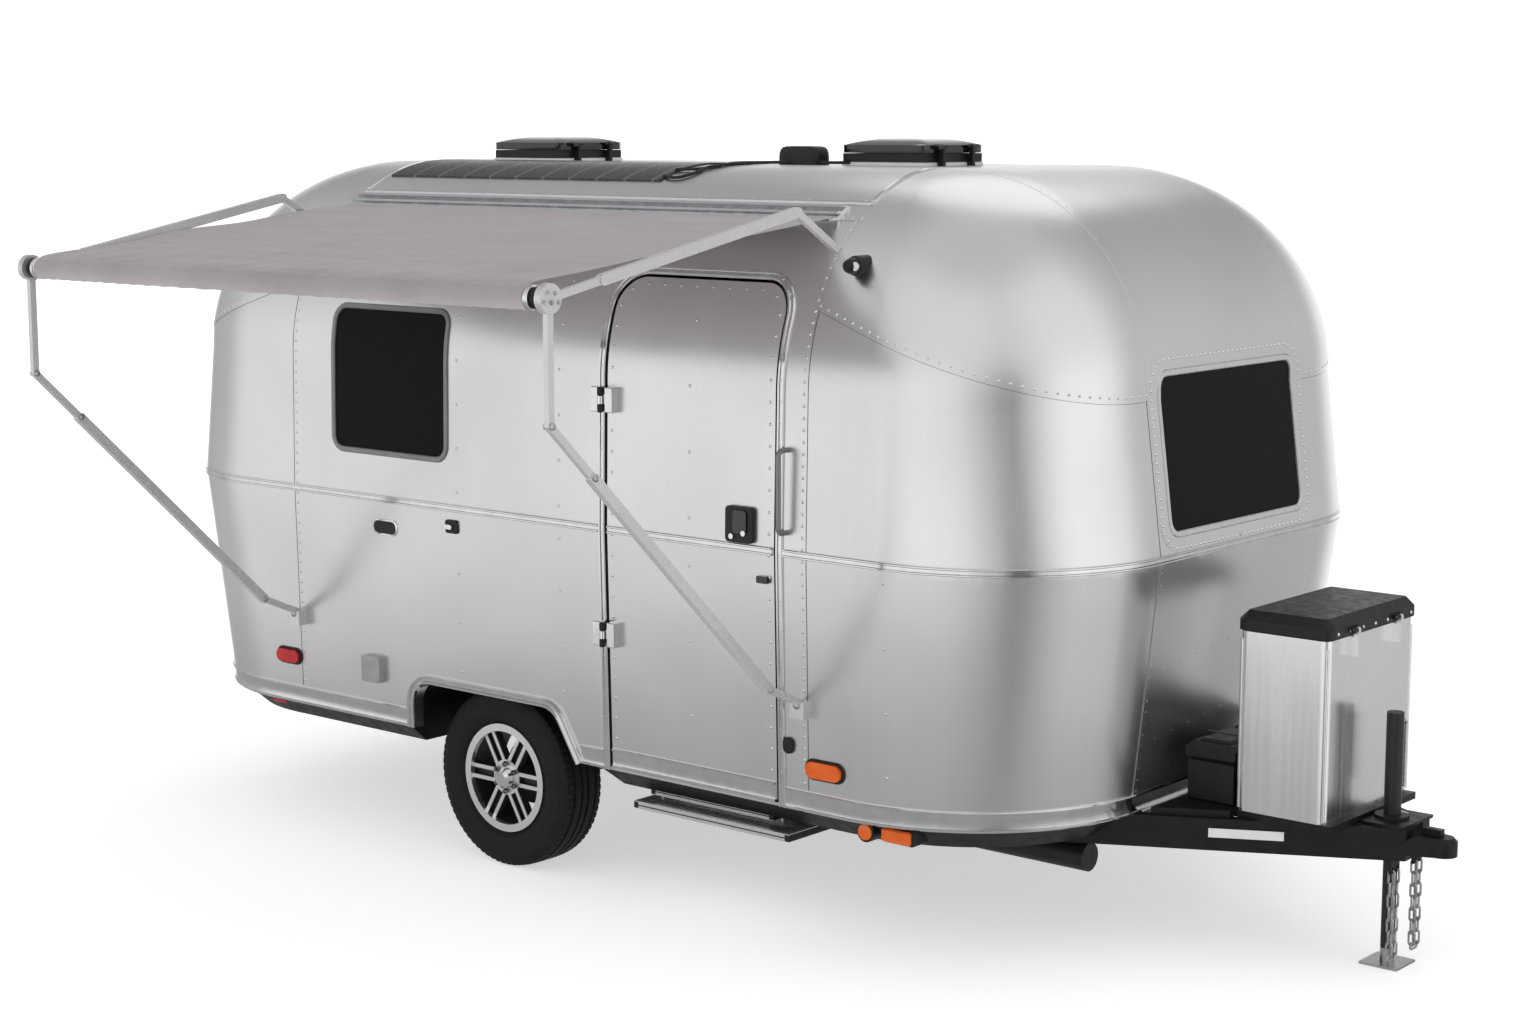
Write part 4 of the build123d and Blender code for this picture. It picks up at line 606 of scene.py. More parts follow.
def skin_panel(node, proud, body="coach"):
    """A body panel with the part's outline, refined and laid on the exact skin."""
    form = bmesh.new()
    form.from_mesh(NODES[node].data)
    bmesh.ops.remove_doubles(form, verts=form.verts, dist=1e-5)
    bmesh.ops.triangulate(form, faces=form.faces)
    flag = form.verts.layers.int.new("outer")
    places = np.array([v.co for v in form.verts])
    for vertex, gap in zip(form.verts, np.abs(outside(places))):
        vertex[flag] = int(gap < SKIN_NEAR)
    for number in range(SPLIT_PASSES):
        longest = [e for e in form.edges
                   if e.verts[0][flag] and e.verts[1][flag] and e.calc_length() > SKIN_EDGE]
        if not longest:
            break
        split = bmesh.ops.subdivide_edges(form, edges=longest, cuts=1)
        for vertex in split["geom_inner"]:
            if isinstance(vertex, bmesh.types.BMVert):
                vertex[flag] = 1
        bmesh.ops.triangulate(form, faces=[f for f in form.faces if len(f.verts) > 3])
    outer = [v for v in form.verts if v[flag]]
    for vertex, place in zip(outer, settle([v.co for v in outer], proud)):
        vertex.co = place
    form.verts.index_update()
    mesh = bpy.data.meshes.new(node + "_skin")
    form.to_mesh(mesh)
    on_skin = [v[flag] for v in form.verts]
    form.free()
    rounded = skin_normals(np.array([v.co for v in mesh.vertices]))
    normals = []
    for polygon in mesh.polygons:
        for index in polygon.vertices:
            smooth = Vector(rounded[index])
            normals.append(smooth if on_skin[index] and polygon.normal.dot(smooth) > FACING else polygon.normal)
    mesh.polygons.foreach_set("use_smooth", [True] * len(mesh.polygons))
    mesh.normals_split_custom_set(normals)
    return piece(node + "_skin", mesh, SKIN, body, [node])


LAP = 0.0012
PANELS = (
    # how far they stand over their neighbours, nodes
    (0.0, "side_wall_right", "side_wall_left", "corners_right_lower", "corners_left_lower"),
    (LAP, "roof_panel", "corners_right_upper", "corners_left_upper"),
    (2 * LAP, "end_panel_front", "end_panel_rear"),
)
for proud, *nodes in PANELS:
    for node in nodes:
        skin_panel(node, proud)
skin_panel("entry_door", 0.0, "door")

# Seams: a fine dark line between panels, and rivets beside it
SEAM_LINE = mirrored((-0.0013, -0.002), (-0.0013, 0.0004))
SEAM_STEP = 0.03
RIVET_PITCH = 0.040
RIVET_SETBACK = 0.016
FALL_SETBACK = 1.3 * RIVET_SETBACK
RIVETS_FROM = SILL_TOP + 0.02
ROOF_EDGE_SIDE = 0.92
END_RAY_HEIGHT = 1.3
seams = Form("panel_seams", BLACK_PLASTIC)
rivets = Form("body_rivets", TRIM)


def seam(path, beside):
    """A seam's dark line, and a row of rivets beside it."""
    seams.strip(path, SEAM_LINE)
    rivets.rivets(beside, RIVET_PITCH)


def lengthwise(start, stop, across, height, count):
    """A straight row of points along the body."""
    return np.array([at(x, across, height) for x in np.linspace(start, stop, count)])


for side in BOTH:
    for seam_x, end in ((SEAM_FRONT, 1), (SEAM_REAR, -1)):
        seam(walk(upright_path(seam_x, side, SILL_TOP, ROOF_HEIGHT), SEAM_STEP),
             upright_path(seam_x - end * RIVET_SETBACK, side, RIVETS_FROM, ROOF_EDGE))
        fall = plane_path(at(seam_x, 0, CORNER_SEAM_HEIGHT), (end, 0, -CORNER_SEAM_FALL), (0, side, 0),
                          0, 90)
        fall = fall[np.abs(fall[:, 1]) > END_PANEL_HALF]
        seam(walk(fall, SEAM_STEP), settle(fall + np.array((0, 0, FALL_SETBACK))))
        edge = plane_path(at(BODY_MIDDLE, side * END_PANEL_HALF, END_RAY_HEIGHT), (end, 0, 0), (0, 0, 1),
                          -25, 80)
        edge = edge[(end * (edge[:, 0] - ahead(seam_x)) > 0) & (edge[:, 2] > up(SILL_TOP))]
        seam(walk(edge, SEAM_STEP), settle(edge - np.array((0, side * RIVET_SETBACK, 0))))
    roof_line = lengthwise(SEAM_REAR, SEAM_FRONT, side * ROOF_EDGE_SIDE, ROOF_EDGE, 80)
    seam(settle(roof_line), settle(roof_line + np.array((0, 0, RIVET_SETBACK))))
RIB_ROWS = (
    # distance ahead, low, high, pitch: rivets into the ribs inside the walls
    (-0.115, 0.75, 1.33, 0.17),
    (-0.115, 1.44, 2.40, 0.17),
    (0.420, 0.75, 1.33, 0.17),
    (0.420, 1.44, 2.40, 0.17),
    (1.900, 0.66, 1.33, 0.22),
)
for distance, low, high, pitch in RIB_ROWS:
    for side in BOTH:
        rivets.rivets(upright_path(distance, side, low, high), pitch)
FRONT_ROWS = (0.80, 1.05)
FRONT_ROW_HALF = 0.42
FRONT_ROW_FALL = 0.1
FRONT_ROW_PITCH = 0.11
FRONT_NEAR = 2.4
for height in FRONT_ROWS:
    row = np.array([(ahead(FRONT_NEAR), y, up(height - FRONT_ROW_FALL * abs(y)))
                    for y in np.linspace(-FRONT_ROW_HALF, FRONT_ROW_HALF, 9)])
    rivets.rivets(settle(row), FRONT_ROW_PITCH)

# Windows: rounded frames, and a riveted plate round the end windows
FRAME_PROFILE = ((-0.0115, -0.004), (-0.0115, 0.003), (-0.008, 0.0066), (0.007, 0.0066), (0.011, 0.002),
                 (0.011, -0.004))
DOUBLER = 0.050
DOUBLER_THICK = 0.0035
DOUBLER_RIVETS = 0.035
DOUBLER_PITCH = 0.03
DOUBLER_PROFILE = mirrored((-DOUBLER / 2, -0.001), (-DOUBLER / 2, DOUBLER_THICK))
side_frames = Form("side_window_frames", WINDOW_GREY, replaced=["window_frames"])
end_frames = Form("end_window_frames", SATIN)
doublers = Form("end_window_plates", SKIN)


def grown(window, grow):
    """A window's outline grown all round."""
    width, tall, corner = window
    return rounded_outline(width + 2 * grow, tall + 2 * grow, corner + grow)


for side, middle in SIDE_WINDOWS:
    path = side_path(grown(SIDE_WINDOW, -WINDOW_FRAME / 2), middle, SIDE_WINDOW_HEIGHT, side)
    side_frames.strip(path, FRAME_PROFILE, True)
for end in ENDS:
    frame_line, plate_line, rivet_line = (end_path(grown(END_WINDOW, grow), END_WINDOW_HEIGHT, end)
                                          for grow in (-WINDOW_FRAME / 2, DOUBLER / 2, DOUBLER_RIVETS))
    end_frames.strip(frame_line, FRAME_PROFILE, True)
    doublers.strip(plate_line, DOUBLER_PROFILE, True)
    rivets.rivets(settle(rivet_line, DOUBLER_THICK), DOUBLER_PITCH)

# Mouldings: belt rail, sill trim, arch trims and the frame round the door
BELT_PROFILE = mirrored((-0.014, -0.002), (-0.014, 0.006), (-0.0115, 0.0095), (-0.008, 0.0095), (-0.005, 0.005))
SILL_PROFILE = mirrored((-0.036, -0.002), (-0.036, 0.006), (-0.033, 0.0095), (-0.028, 0.0095), (-0.025, 0.005),
                        (-0.01, 0.003))
ARCH_PROFILE = mirrored((-0.018, -0.002), (-0.018, 0.008), (-0.015, 0.0135), (-0.009, 0.0135), (-0.005, 0.006))
DOOR_PROFILE = mirrored((-0.015, -0.002), (-0.015, 0.004), (-0.012, 0.0078), (-0.005, 0.0078), (-0.002, 0.0045))
MOULDING_STEP = 0.02
surround_rear = DOOR_REAR - DOOR_GAP - DOOR_FRAME
surround_front = DOOR_FRONT + DOOR_GAP + DOOR_FRAME
arch_end_rear = ARCH_REAR - ARCH_TRIM
arch_end_front = ARCH_FRONT + ARCH_TRIM + ARCH_SLANT
COACH_SPANS = (
    # height, profile, from (distance, side), to (distance, side), whole turns added to the end
    (BELT_HEIGHT, BELT_PROFILE, (surround_front, RIGHT), (surround_rear, RIGHT), 360),
    (SILL_MIDDLE, SILL_PROFILE, (surround_front, RIGHT), (arch_end_front, LEFT), 0),
    (SILL_MIDDLE, SILL_PROFILE, (arch_end_rear, LEFT), (arch_end_rear, RIGHT), 360),
    (SILL_MIDDLE, SILL_PROFILE, (arch_end_front, RIGHT), (surround_rear, RIGHT), 0),
)
DOOR_TRIM_INSET = 0.004
DOOR_SPAN = (DOOR_REAR + DOOR_TRIM_INSET, RIGHT), (DOOR_FRONT - DOOR_TRIM_INSET, RIGHT), 0
DOOR_SPANS = (
    (BELT_HEIGHT, BELT_PROFILE, *DOOR_SPAN),
    (SILL_MIDDLE + 0.011, SILL_PROFILE, *DOOR_SPAN),
)


def mould(form, spans):
    """Level mouldings along some spans of the skin."""
    for height, profile, start, stop, turns in spans:
        form.strip(level_path(height, turn_of(*start, height), turn_of(*stop, height) + turns), profile)


mould(Form("body_mouldings_shape", TRIM, replaced=["body_mouldings"]), COACH_SPANS)

arches = Form("arch_trims_shape", TRIM, replaced=["arch_trims"])
arch_grow = ARCH_TRIM / 2
arch_low = ARCH_SLANT * (ARCH_HEIGHT + arch_grow - SILL_HEIGHT) / (ARCH_HEIGHT - SILL_HEIGHT)
arch_line = rounded_line(((ARCH_REAR - arch_grow, SILL_HEIGHT), (ARCH_REAR - arch_grow, ARCH_HEIGHT + arch_grow),
                          (ARCH_FRONT + arch_grow, ARCH_HEIGHT + arch_grow),
                          (ARCH_FRONT + arch_grow + arch_low, SILL_HEIGHT)), ARCH_CORNER + arch_grow)
for side in BOTH:
    arches.strip(walk(side_path(arch_line, 0, 0, side), MOULDING_STEP), ARCH_PROFILE)

HINGE_X = DOOR_REAR - DOOR_GAP / 2
HINGE_Y = -(WALL_SECTIONS[1][2] + 0.025)
HINGE_HEIGHTS = (1.005, 1.850)
HINGE_HALF = 0.045
HINGE_KNUCKLE = HINGE_HALF / 3
HINGE_BARREL = 0.011
BARREL_END = 0.003
BARREL_TIP = 0.008
BARREL_PLAY = 0.001
BARREL_SIDES = 16
LEAF_NEAR = 0.013
LEAF_FAR = 0.052
LEAF_FACE = HINGE_Y + 0.004
LEAF_BACK = LEAF_FACE + 0.04
LEAF_BEVEL = 0.003


def door_line(grow, low):
    """The door's edge grown outward, from a low height up and over, on the skin."""
    corners = ((DOOR_REAR - grow, low), (DOOR_REAR - grow, DOOR_TOP + grow),
               (DOOR_FRONT + grow, DOOR_TOP + grow), (DOOR_FRONT + grow, low))
    return side_path(rounded_line(corners, DOOR_CORNER + grow), 0, 0, RIGHT)


def hinge_leaves(form, way):
    """The leaves on one side of the hinge line, bedded in the skin."""
    for height in HINGE_HEIGHTS:
        form.box(at(HINGE_X + way * LEAF_NEAR, LEAF_FACE, height - HINGE_HALF),
                 at(HINGE_X + way * LEAF_FAR, LEAF_BACK, height + HINGE_HALF), LEAF_BEVEL)


def hinge_barrels(form, profile):
    """A turned form on the pin of each hinge."""
    for height in HINGE_HEIGHTS:
        form.lathe(at(HINGE_X, HINGE_Y, height), (0, 0, 1), profile, BARREL_SIDES)


frame_middle = DOOR_GAP + DOOR_FRAME / 2
door_frame = Form("door_frame_shape", TRIM, replaced=["door_frame"])
door_frame.strip(walk(door_line(frame_middle, SILL_HEIGHT), MOULDING_STEP), DOOR_PROFILE)
hinge_leaves(door_frame, -1)
knuckles = Form("hinge_knuckles", BLACK_PLASTIC)
for low, high in ((-HINGE_HALF, -HINGE_KNUCKLE), (HINGE_KNUCKLE, HINGE_HALF)):
    hinge_barrels(knuckles, ((low, BARREL_TIP), (low + BARREL_END, HINGE_BARREL),
                             (high - BARREL_END, HINGE_BARREL), (high, BARREL_TIP)))
door_trim = Form("door_trim_shape", TRIM, "door", ["door_trim"])
mould(door_trim, DOOR_SPANS)
hinge_leaves(door_trim, 1)
middle_half = HINGE_KNUCKLE - BARREL_PLAY
hinge_barrels(door_trim, ((-middle_half, HINGE_BARREL), (middle_half, HINGE_BARREL)))

DOOR_RIVET_INSET = 0.022
DOOR_RIVET_PITCH = 0.075
DOOR_RIVET_LOW = SILL_TOP + 0.05
FRAME_RIVET = 0.0045
FRAME_RIVET_PROUD = 0.004
DOOR_RIB = 1.05
DOOR_RIB_PITCH = 0.22
rivets.rivets(settle(door_line(frame_middle, DOOR_RIVET_LOW), FRAME_RIVET_PROUD), DOOR_RIVET_PITCH, FRAME_RIVET)
door_rivets = Form("door_rivets", TRIM, "door")
door_rivets.rivets(door_line(-DOOR_RIVET_INSET, DOOR_RIVET_LOW), DOOR_RIVET_PITCH)
for low, high in ((0.75, 1.30), (1.46, 2.15)):
    door_rivets.rivets(upright_path(DOOR_RIB, RIGHT, low, high), DOOR_RIB_PITCH)

# Awning: cloth with slight ripples, a roller wound with it, black caps and chrome rings at its ends
cloth_low, cloth_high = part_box("awning_fabric")
CLOTH_COLUMNS = 240
CLOTH_ROWS = 64
RIPPLE = 0.004
SAG = 0.012
GATHER = 0.0035
GATHER_WAVES = 95
PULL = 0.006
PULL_REACH = 0.08
SEAM_AT = 0.3625
SEAM_RISE = 0.0018
SEAM_WIDTH = 0.0035
TUCK = 0.008
TUCK_FROM = 0.95
RAIL_GRIP = 0.008
rail_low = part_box("awning_rail")[0]
cloth_start = Vector((0, rail_low.y + RAIL_GRIP, rail_low.z + RAIL_GRIP))
run = Vector((0, cloth_low.y, cloth_low.z)) - cloth_start
cloth_long = cloth_high.x - cloth_low.x
u, v = np.meshgrid(np.linspace(0, 1, CLOTH_COLUMNS + 1), np.linspace(0, 1, CLOTH_ROWS + 1))
# u runs along the body, v from the rail to the roller: broad ripples and finer ones towards the roller,
# gathers at the roller, a pull at the rear edge, the sewn seam, then the sag and the tuck under the roll
swell = np.maximum(np.sin(math.pi * v), 0)
free = np.sqrt(swell)
lift = RIPPLE * free * (np.sin(9 * u + 5 * v) * np.sin(4 * v + 2 * u) + 0.5 * np.sin(31 * u + 9 * v ** 2) * v ** 3)
lift += (GATHER * np.minimum(1, (1 - v) * 14) * v ** 5 * (1 - 0.6 * u)
         * np.sin(GATHER_WAVES * u + 1.8 * np.sin(13 * u)))
lift += PULL * np.exp(-u / PULL_REACH) * np.sin(14 * v + 6 * u) * swell
lift += SEAM_RISE * free * np.exp(-((u - SEAM_AT) / SEAM_WIDTH) ** 2)
lift -= SAG * swell * np.sin(math.pi * u) + TUCK * np.maximum(0, (v - TUCK_FROM) / (1 - TUCK_FROM)) ** 2
places = np.stack((cloth_low.x + u * cloth_long, cloth_start.y + v * run.y, cloth_start.z + v * run.z + lift),
                  axis=-1)
wide = CLOTH_COLUMNS + 1
corners = [row * wide + column for row in range(CLOTH_ROWS) for column in range(CLOTH_COLUMNS)]
cloth_mesh = bpy.data.meshes.new("awning_cloth")
cloth_mesh.from_pydata(places.reshape(-1, 3).tolist(), [], [(k, k + 1, k + wide + 1, k + wide) for k in corners])
cloth_mesh.polygons.foreach_set("use_smooth", [True] * len(corners))
awning_cloth = piece("awning_cloth", cloth_mesh, CLOTH, replaced=["awning_fabric"])

roller_low, roller_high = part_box("awning_roller")
roller_middle = (roller_low + roller_high) / 2
ROLL_RADIUS = (roller_high.z - roller_low.z) / 2 - 0.001
ROLL_FOLD = 0.0022
ROLLER_CAP = 0.06
ROLLER_SIDES = 28
CAP_PROFILE = ((0, 0.028), (0.012, 0.028), (0.014, 0.036), (0.022, 0.037), (0.024, 0.030), (0.034, 0.030))
RING_PROFILE = ((0.034, 0.030), (0.036, 0.0385), (0.050, 0.0385), (0.052, 0.036), (ROLLER_CAP + 0.004, 0.036))
roll_long = roller_high.x - roller_low.x - 2 * ROLLER_CAP


def roll_ring(share):
    """One ring of the wound cloth, with slanting folds."""
    ring = []
    for turn in circle(ROLLER_SIDES):
        radius = ROLL_RADIUS - ROLL_FOLD * math.sin(GATHER_WAVES * share + 5 * math.sin(7 * share) + 2 * turn) ** 2
        ring.append((roller_low.x + ROLLER_CAP + share * roll_long, roller_middle.y + radius * math.cos(turn),
                     roller_middle.z + radius * math.sin(turn)))
    return ring


roller = Form("awning_roll", CLOTH, replaced=["awning_roller"])
roller.rings([roll_ring(share) for share in np.linspace(0, 1, 360)])
roller_ends = Form("roller_ends", BLACK_PLASTIC)
roller_rings = Form("roller_rings", CHROME)
for form, profile in ((roller_ends, CAP_PROFILE), (roller_rings, RING_PROFILE)):
    for start, way in ((roller_low.x, 1), (roller_high.x, -1)):
        form.lathe((start, roller_middle.y, roller_middle.z), (way, 0, 0), profile, ROLLER_SIDES)

# Wheels: tyres with grooved tread, dark nuts round the hubs
TYRE_SEGMENTS = 288
# Profile rows: distance out from the wheel's middle, radius, cut by the cross grooves
INNER_WALL = ((-0.0805, 0.197, 0), (-0.0815, 0.2095, 0), (-0.094, 0.226, 0), (-0.104, 0.255, 0),
              (-0.1065, 0.277, 0), (-0.105, 0.300, 0))
TREAD = mirrored(
    (-0.100, 0.325, 1), (-0.088, 0.340, 1), (-0.062, 0.3443, 1), (-0.060, 0.337, 0), (-0.052, 0.337, 0),
    (-0.050, 0.3446, 0), (-0.022, 0.345, 0), (-0.020, 0.337, 0), (-0.012, 0.337, 0), (-0.010, 0.345, 0))
OUTER_WALL = ((0.105, 0.300, 0), (0.1053, 0.296, 0), (0.1043, 0.294, 0), (0.1065, 0.277, 0), (0.1055, 0.266, 0),
              (0.104, 0.255, 0), (0.100, 0.240, 0), (0.097, 0.232, 0), (0.0985, 0.228, 0), (0.094, 0.224, 0),
              (0.0815, 0.2095, 0), (0.0805, 0.197, 0))
TREAD_CUT = 0.004
CUT_EVERY = 4
WHEEL_MIDDLE = (abs(wheel_low.y) + abs(wheel_high.y)) / 2
NUTS = 6
NUT_CIRCLE = 0.053
NUT_PROFILE = ((-0.004, 0.0105), (0.012, 0.0105), (0.018, 0.007), (0.02, 0.003))


def on_wheel(radius, turn, out):
    """A place on a wheel."""
    return AXLE_X + radius * math.cos(turn), out, up(WHEEL_RADIUS) + radius * math.sin(turn)


for side_name, side in (("right", RIGHT), ("left", LEFT)):
    tyre = Form(f"tyre_{side_name}_shape", RUBBER, f"wheel_{side_name}", [f"tyre_{side_name}"])
    rings = []
    for segment, turn in enumerate(circle(TYRE_SEGMENTS)):
        cut = TREAD_CUT if segment % CUT_EVERY == 0 else 0.0
        rings.append([on_wheel(radius - cut * grooved, turn, side * (WHEEL_MIDDLE + out))
                      for out, radius, grooved in INNER_WALL + TREAD + OUTER_WALL])
    tyre.rings(rings, True)
    nuts = Form(f"wheel_nuts_{side_name}", DARK_CHROME, f"wheel_{side_name}", sharp=20)
    for turn in circle(NUTS) + math.pi / NUTS:
        nuts.lathe(on_wheel(NUT_CIRCLE, turn, side * SPOKE_FACE), (0, side, 0), NUT_PROFILE, 6)

# Safety chains with round links, in the places of the part's links
CHAIN_X = ahead(3.190)
CHAIN_Y = 0.0831
STRAND_HALF = 0.016
LINK_WIRE = 0.008
LINK_HALF_LONG = 0.025
LINK_HALF_WIDE = 0.011
LINK_PITCH = 0.0417
CHAIN_TOP = 0.3303
CHAIN_LINKS = 7
CHAIN_BOTTOM = 0.0524
LINK_STEPS = 20
LINK_SIDES = 8
AHEAD, ACROSS, UPWARD = np.eye(3)
chains = Form("safety_chains_shape", ZINC, replaced=["safety_chains"], sharp=60)


def chain_link(centre, flat, long):
    """A link: a slot of round wire with its flat and long directions."""
    straight = LINK_HALF_LONG - LINK_HALF_WIDE
    path = []
    for turn in circle(LINK_STEPS):
        along = straight * (1 if math.sin(turn) >= 0 else -1) + LINK_HALF_WIDE * math.sin(turn)
        path.append(np.array(centre) + flat * LINK_HALF_WIDE * math.cos(turn) + long * along)
    chains.tube(path, LINK_WIRE / 2, LINK_SIDES, True)


for side in BOTH:
    for strand in (-STRAND_HALF, STRAND_HALF):
        for number in range(CHAIN_LINKS):
            centre = (CHAIN_X, side * CHAIN_Y + strand, up(CHAIN_TOP - number * LINK_PITCH))
            chain_link(centre, AHEAD if number % 2 == 0 else ACROSS, UPWARD)
    chain_link((CHAIN_X, side * CHAIN_Y, up(CHAIN_BOTTOM)), UPWARD, ACROSS)

# Tongue: batteries in lidded boxes with straps, gas cover rivets and edges, a blank plate on the right rail
battery_low, battery_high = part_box("battery_boxes")
BATTERY_INNER = 0.010
BATTERY_LID = 0.075
STRAP_HALF = 0.016
BATTERY_BLOCKS = (
    # inset along, inset across, bottom, top, bevel
    (0.006, 0.006, battery_low.z, battery_high.z - BATTERY_LID, 0.004),
    (0.0, 0.0, battery_high.z - BATTERY_LID - 0.004, battery_high.z - 0.012, 0.018),
    (0.035, 0.03, battery_high.z - 0.03, battery_high.z - 0.002, 0.008),
)
batteries = Form("battery_boxes_shape", BLACK_PLASTIC, replaced=["battery_boxes"])
straps = Form("battery_straps", BLACK_STEEL)
for side in BOTH:
    near, far = sorted((side * BATTERY_INNER, side * battery_high.y))
    for along, across, bottom, top, bevel in BATTERY_BLOCKS:
        batteries.box((battery_low.x + along, near + across, bottom),
                      (battery_high.x - along, far - across, top), bevel)
    middle = (near + far) / 2
    straps.box((battery_low.x - 0.001, middle - STRAP_HALF, battery_low.z + 0.01),
               (battery_high.x + 0.001, middle + STRAP_HALF, battery_high.z), 0.008)

lid_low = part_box("gas_lid")[0]
cover_low, cover_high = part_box("gas_cover")
GAS_FRONT = ahead(3.040)
GAS_REAR = ahead(2.710)
GAS_HALF = 0.305
LID_OVERHANG = 0.010
COVER_EDGE = 0.0085
COVER_EDGE_RADIUS = 0.0075
COVER_EDGE_FOOT = 0.01
COVER_EDGE_TOP = 0.06
LID_RIVETS = 7
LID_RIVET_SPAN = 0.26
LID_RIVET_UP = 0.016
lid_rivets = Form("gas_lid_rivets", CHROME, "gas_lid")
lid_places = [np.array((GAS_FRONT + LID_OVERHANG, y, lid_low.z + LID_RIVET_UP))
              for y in np.linspace(-LID_RIVET_SPAN, LID_RIVET_SPAN, LID_RIVETS)]
lid_rivets.domes(lid_places, [AHEAD] * LID_RIVETS, 0.007, 0.004)
cover_edges = Form("gas_cover_edges", TRIM)
for side in BOTH:
    for x in (GAS_REAR + COVER_EDGE, GAS_FRONT - COVER_EDGE):
        heights = np.linspace(cover_low.z + COVER_EDGE_FOOT, cover_high.z - COVER_EDGE_TOP, 3)
        cover_edges.tube([(x, side * (GAS_HALF - COVER_EDGE), z) for z in heights], COVER_EDGE_RADIUS, 12)

RAIL_START = (1.800, 0.815)
RAIL_END = (3.230, 0.062)
RAIL_HALF = 0.025
RAIL_TURN = 0.485
PLATE_ENDS = (2.66, 2.88)
PLATE_CORNERS = ((0.002, 0.437), (-0.002, 0.437), (-0.002, 0.468), (0.002, 0.468))


def rail_face(distance):
    """Y of the right rail's outer face."""
    share = (RAIL_END[0] - distance) / (RAIL_END[0] - RAIL_START[0])
    return -(RAIL_END[1] + (RAIL_START[1] - RAIL_END[1]) * share + RAIL_HALF / math.cos(RAIL_TURN))


plate = Form("rail_plate", WHITE_PAINT)
plate.rings([[at(d, rail_face(d) + out, z) for out, z in PLATE_CORNERS] for d in PLATE_ENDS])

# Small plates on the skin: fittings, and the door's paddle, catch and locks
HANDLE_X = 1.290
HANDLE_HEIGHT = 1.465
HANDLE_PROUD = 0.016
black_fittings = Form("skin_fittings_black", BLACK_PLASTIC)
bright_fittings = Form("skin_fittings_bright", CHROME)
paddle = Form("door_paddle", GLOSS_BLACK, "door", slot="black_plastic")
locks = Form("door_locks", CHROME, "door")
# Plate rows: form, distance ahead, height, width, height of the plate, corner radius, proud
PLATES_ON_BOTH = (
    (black_fittings, 1.648, 0.655, 0.172, 0.074, 0.035, 0.007),
    (black_fittings, -1.125, 0.690, 0.150, 0.070, 0.033, 0.007),
)
PLATES_ON_RIGHT = (
    (bright_fittings, -0.520, 1.274, 0.140, 0.064, 0.030, 0.004),
    (black_fittings, -0.520, 1.274, 0.126, 0.050, 0.024, 0.006),
    (black_fittings, -0.143, 1.314, 0.066, 0.052, 0.010, 0.008),
    (bright_fittings, -0.150, 1.314, 0.040, 0.018, 0.008, 0.018),
    (black_fittings, 1.492, 0.722, 0.044, 0.058, 0.021, 0.010),
    (paddle, HANDLE_X + 0.008, HANDLE_HEIGHT + 0.01, 0.062, 0.082, 0.012, HANDLE_PROUD + 0.006),
    (paddle, DOOR_FRONT - 0.045, 1.285, 0.050, 0.026, 0.006, 0.014),
    (locks, HANDLE_X - 0.028, HANDLE_HEIGHT - 0.042, 0.020, 0.020, 0.0095, HANDLE_PROUD + 0.008),
    (locks, HANDLE_X + 0.026, HANDLE_HEIGHT - 0.028, 0.020, 0.020, 0.0095, HANDLE_PROUD + 0.008),
)
for side, plates in ((RIGHT, PLATES_ON_BOTH + PLATES_ON_RIGHT), (LEFT, PLATES_ON_BOTH)):
    for form, distance, height, width, tall, corner, proud in plates:
        form.plate(side_path(rounded_outline(width, tall, corner), distance, height, side), proud)

# Lamps under the body's edge: round and oblong ahead of the step, a small red one at the rear
BELLY_FACE = WALL_SECTIONS[0][2] - 0.033
BELLY_ROUND_X = 1.790
BELLY_ROUND_HEIGHT = 0.462
belly_amber = Form("belly_lamps_amber", AMBER)
belly_red = Form("belly_lamps_red", RED)
belly_black = Form("belly_lamp_bases", BLACK_PLASTIC)
BELLY_ROUNDS = (
    # form, how far in it starts, profile
    (belly_black, 0.09, ((0, 0.036), (0.088, 0.036), (0.09, 0.03))),
    (belly_amber, 0.002, ((0, 0.029), (0.006, 0.027), (0.01, 0.012))),
)
BELLY_BLOCKS = (
    # form, rear, front, how far in it starts and ends, bottom, top, bevel
    (belly_black, 1.850, 1.975, 0.14, 0.02, 0.435, 0.492, 0.004),
    (belly_amber, 1.855, 1.970, 0.03, 0.006, 0.44, 0.487, 0.006),
    (belly_red, -1.30, -1.22, 0.12, 0.01, 0.468, 0.496, 0.004),
)
for side in BOTH:
    for form, inward, profile in BELLY_ROUNDS:
        form.lathe(at(BELLY_ROUND_X, side * (BELLY_FACE - inward), BELLY_ROUND_HEIGHT), (0, side, 0), profile, 24)
    for form, rear, front, start, stop, bottom, top, bevel in BELLY_BLOCKS:
        form.box(at(rear, side * (BELLY_FACE - start), bottom),
                 at(front, side * (BELLY_FACE - stop), top), bevel)

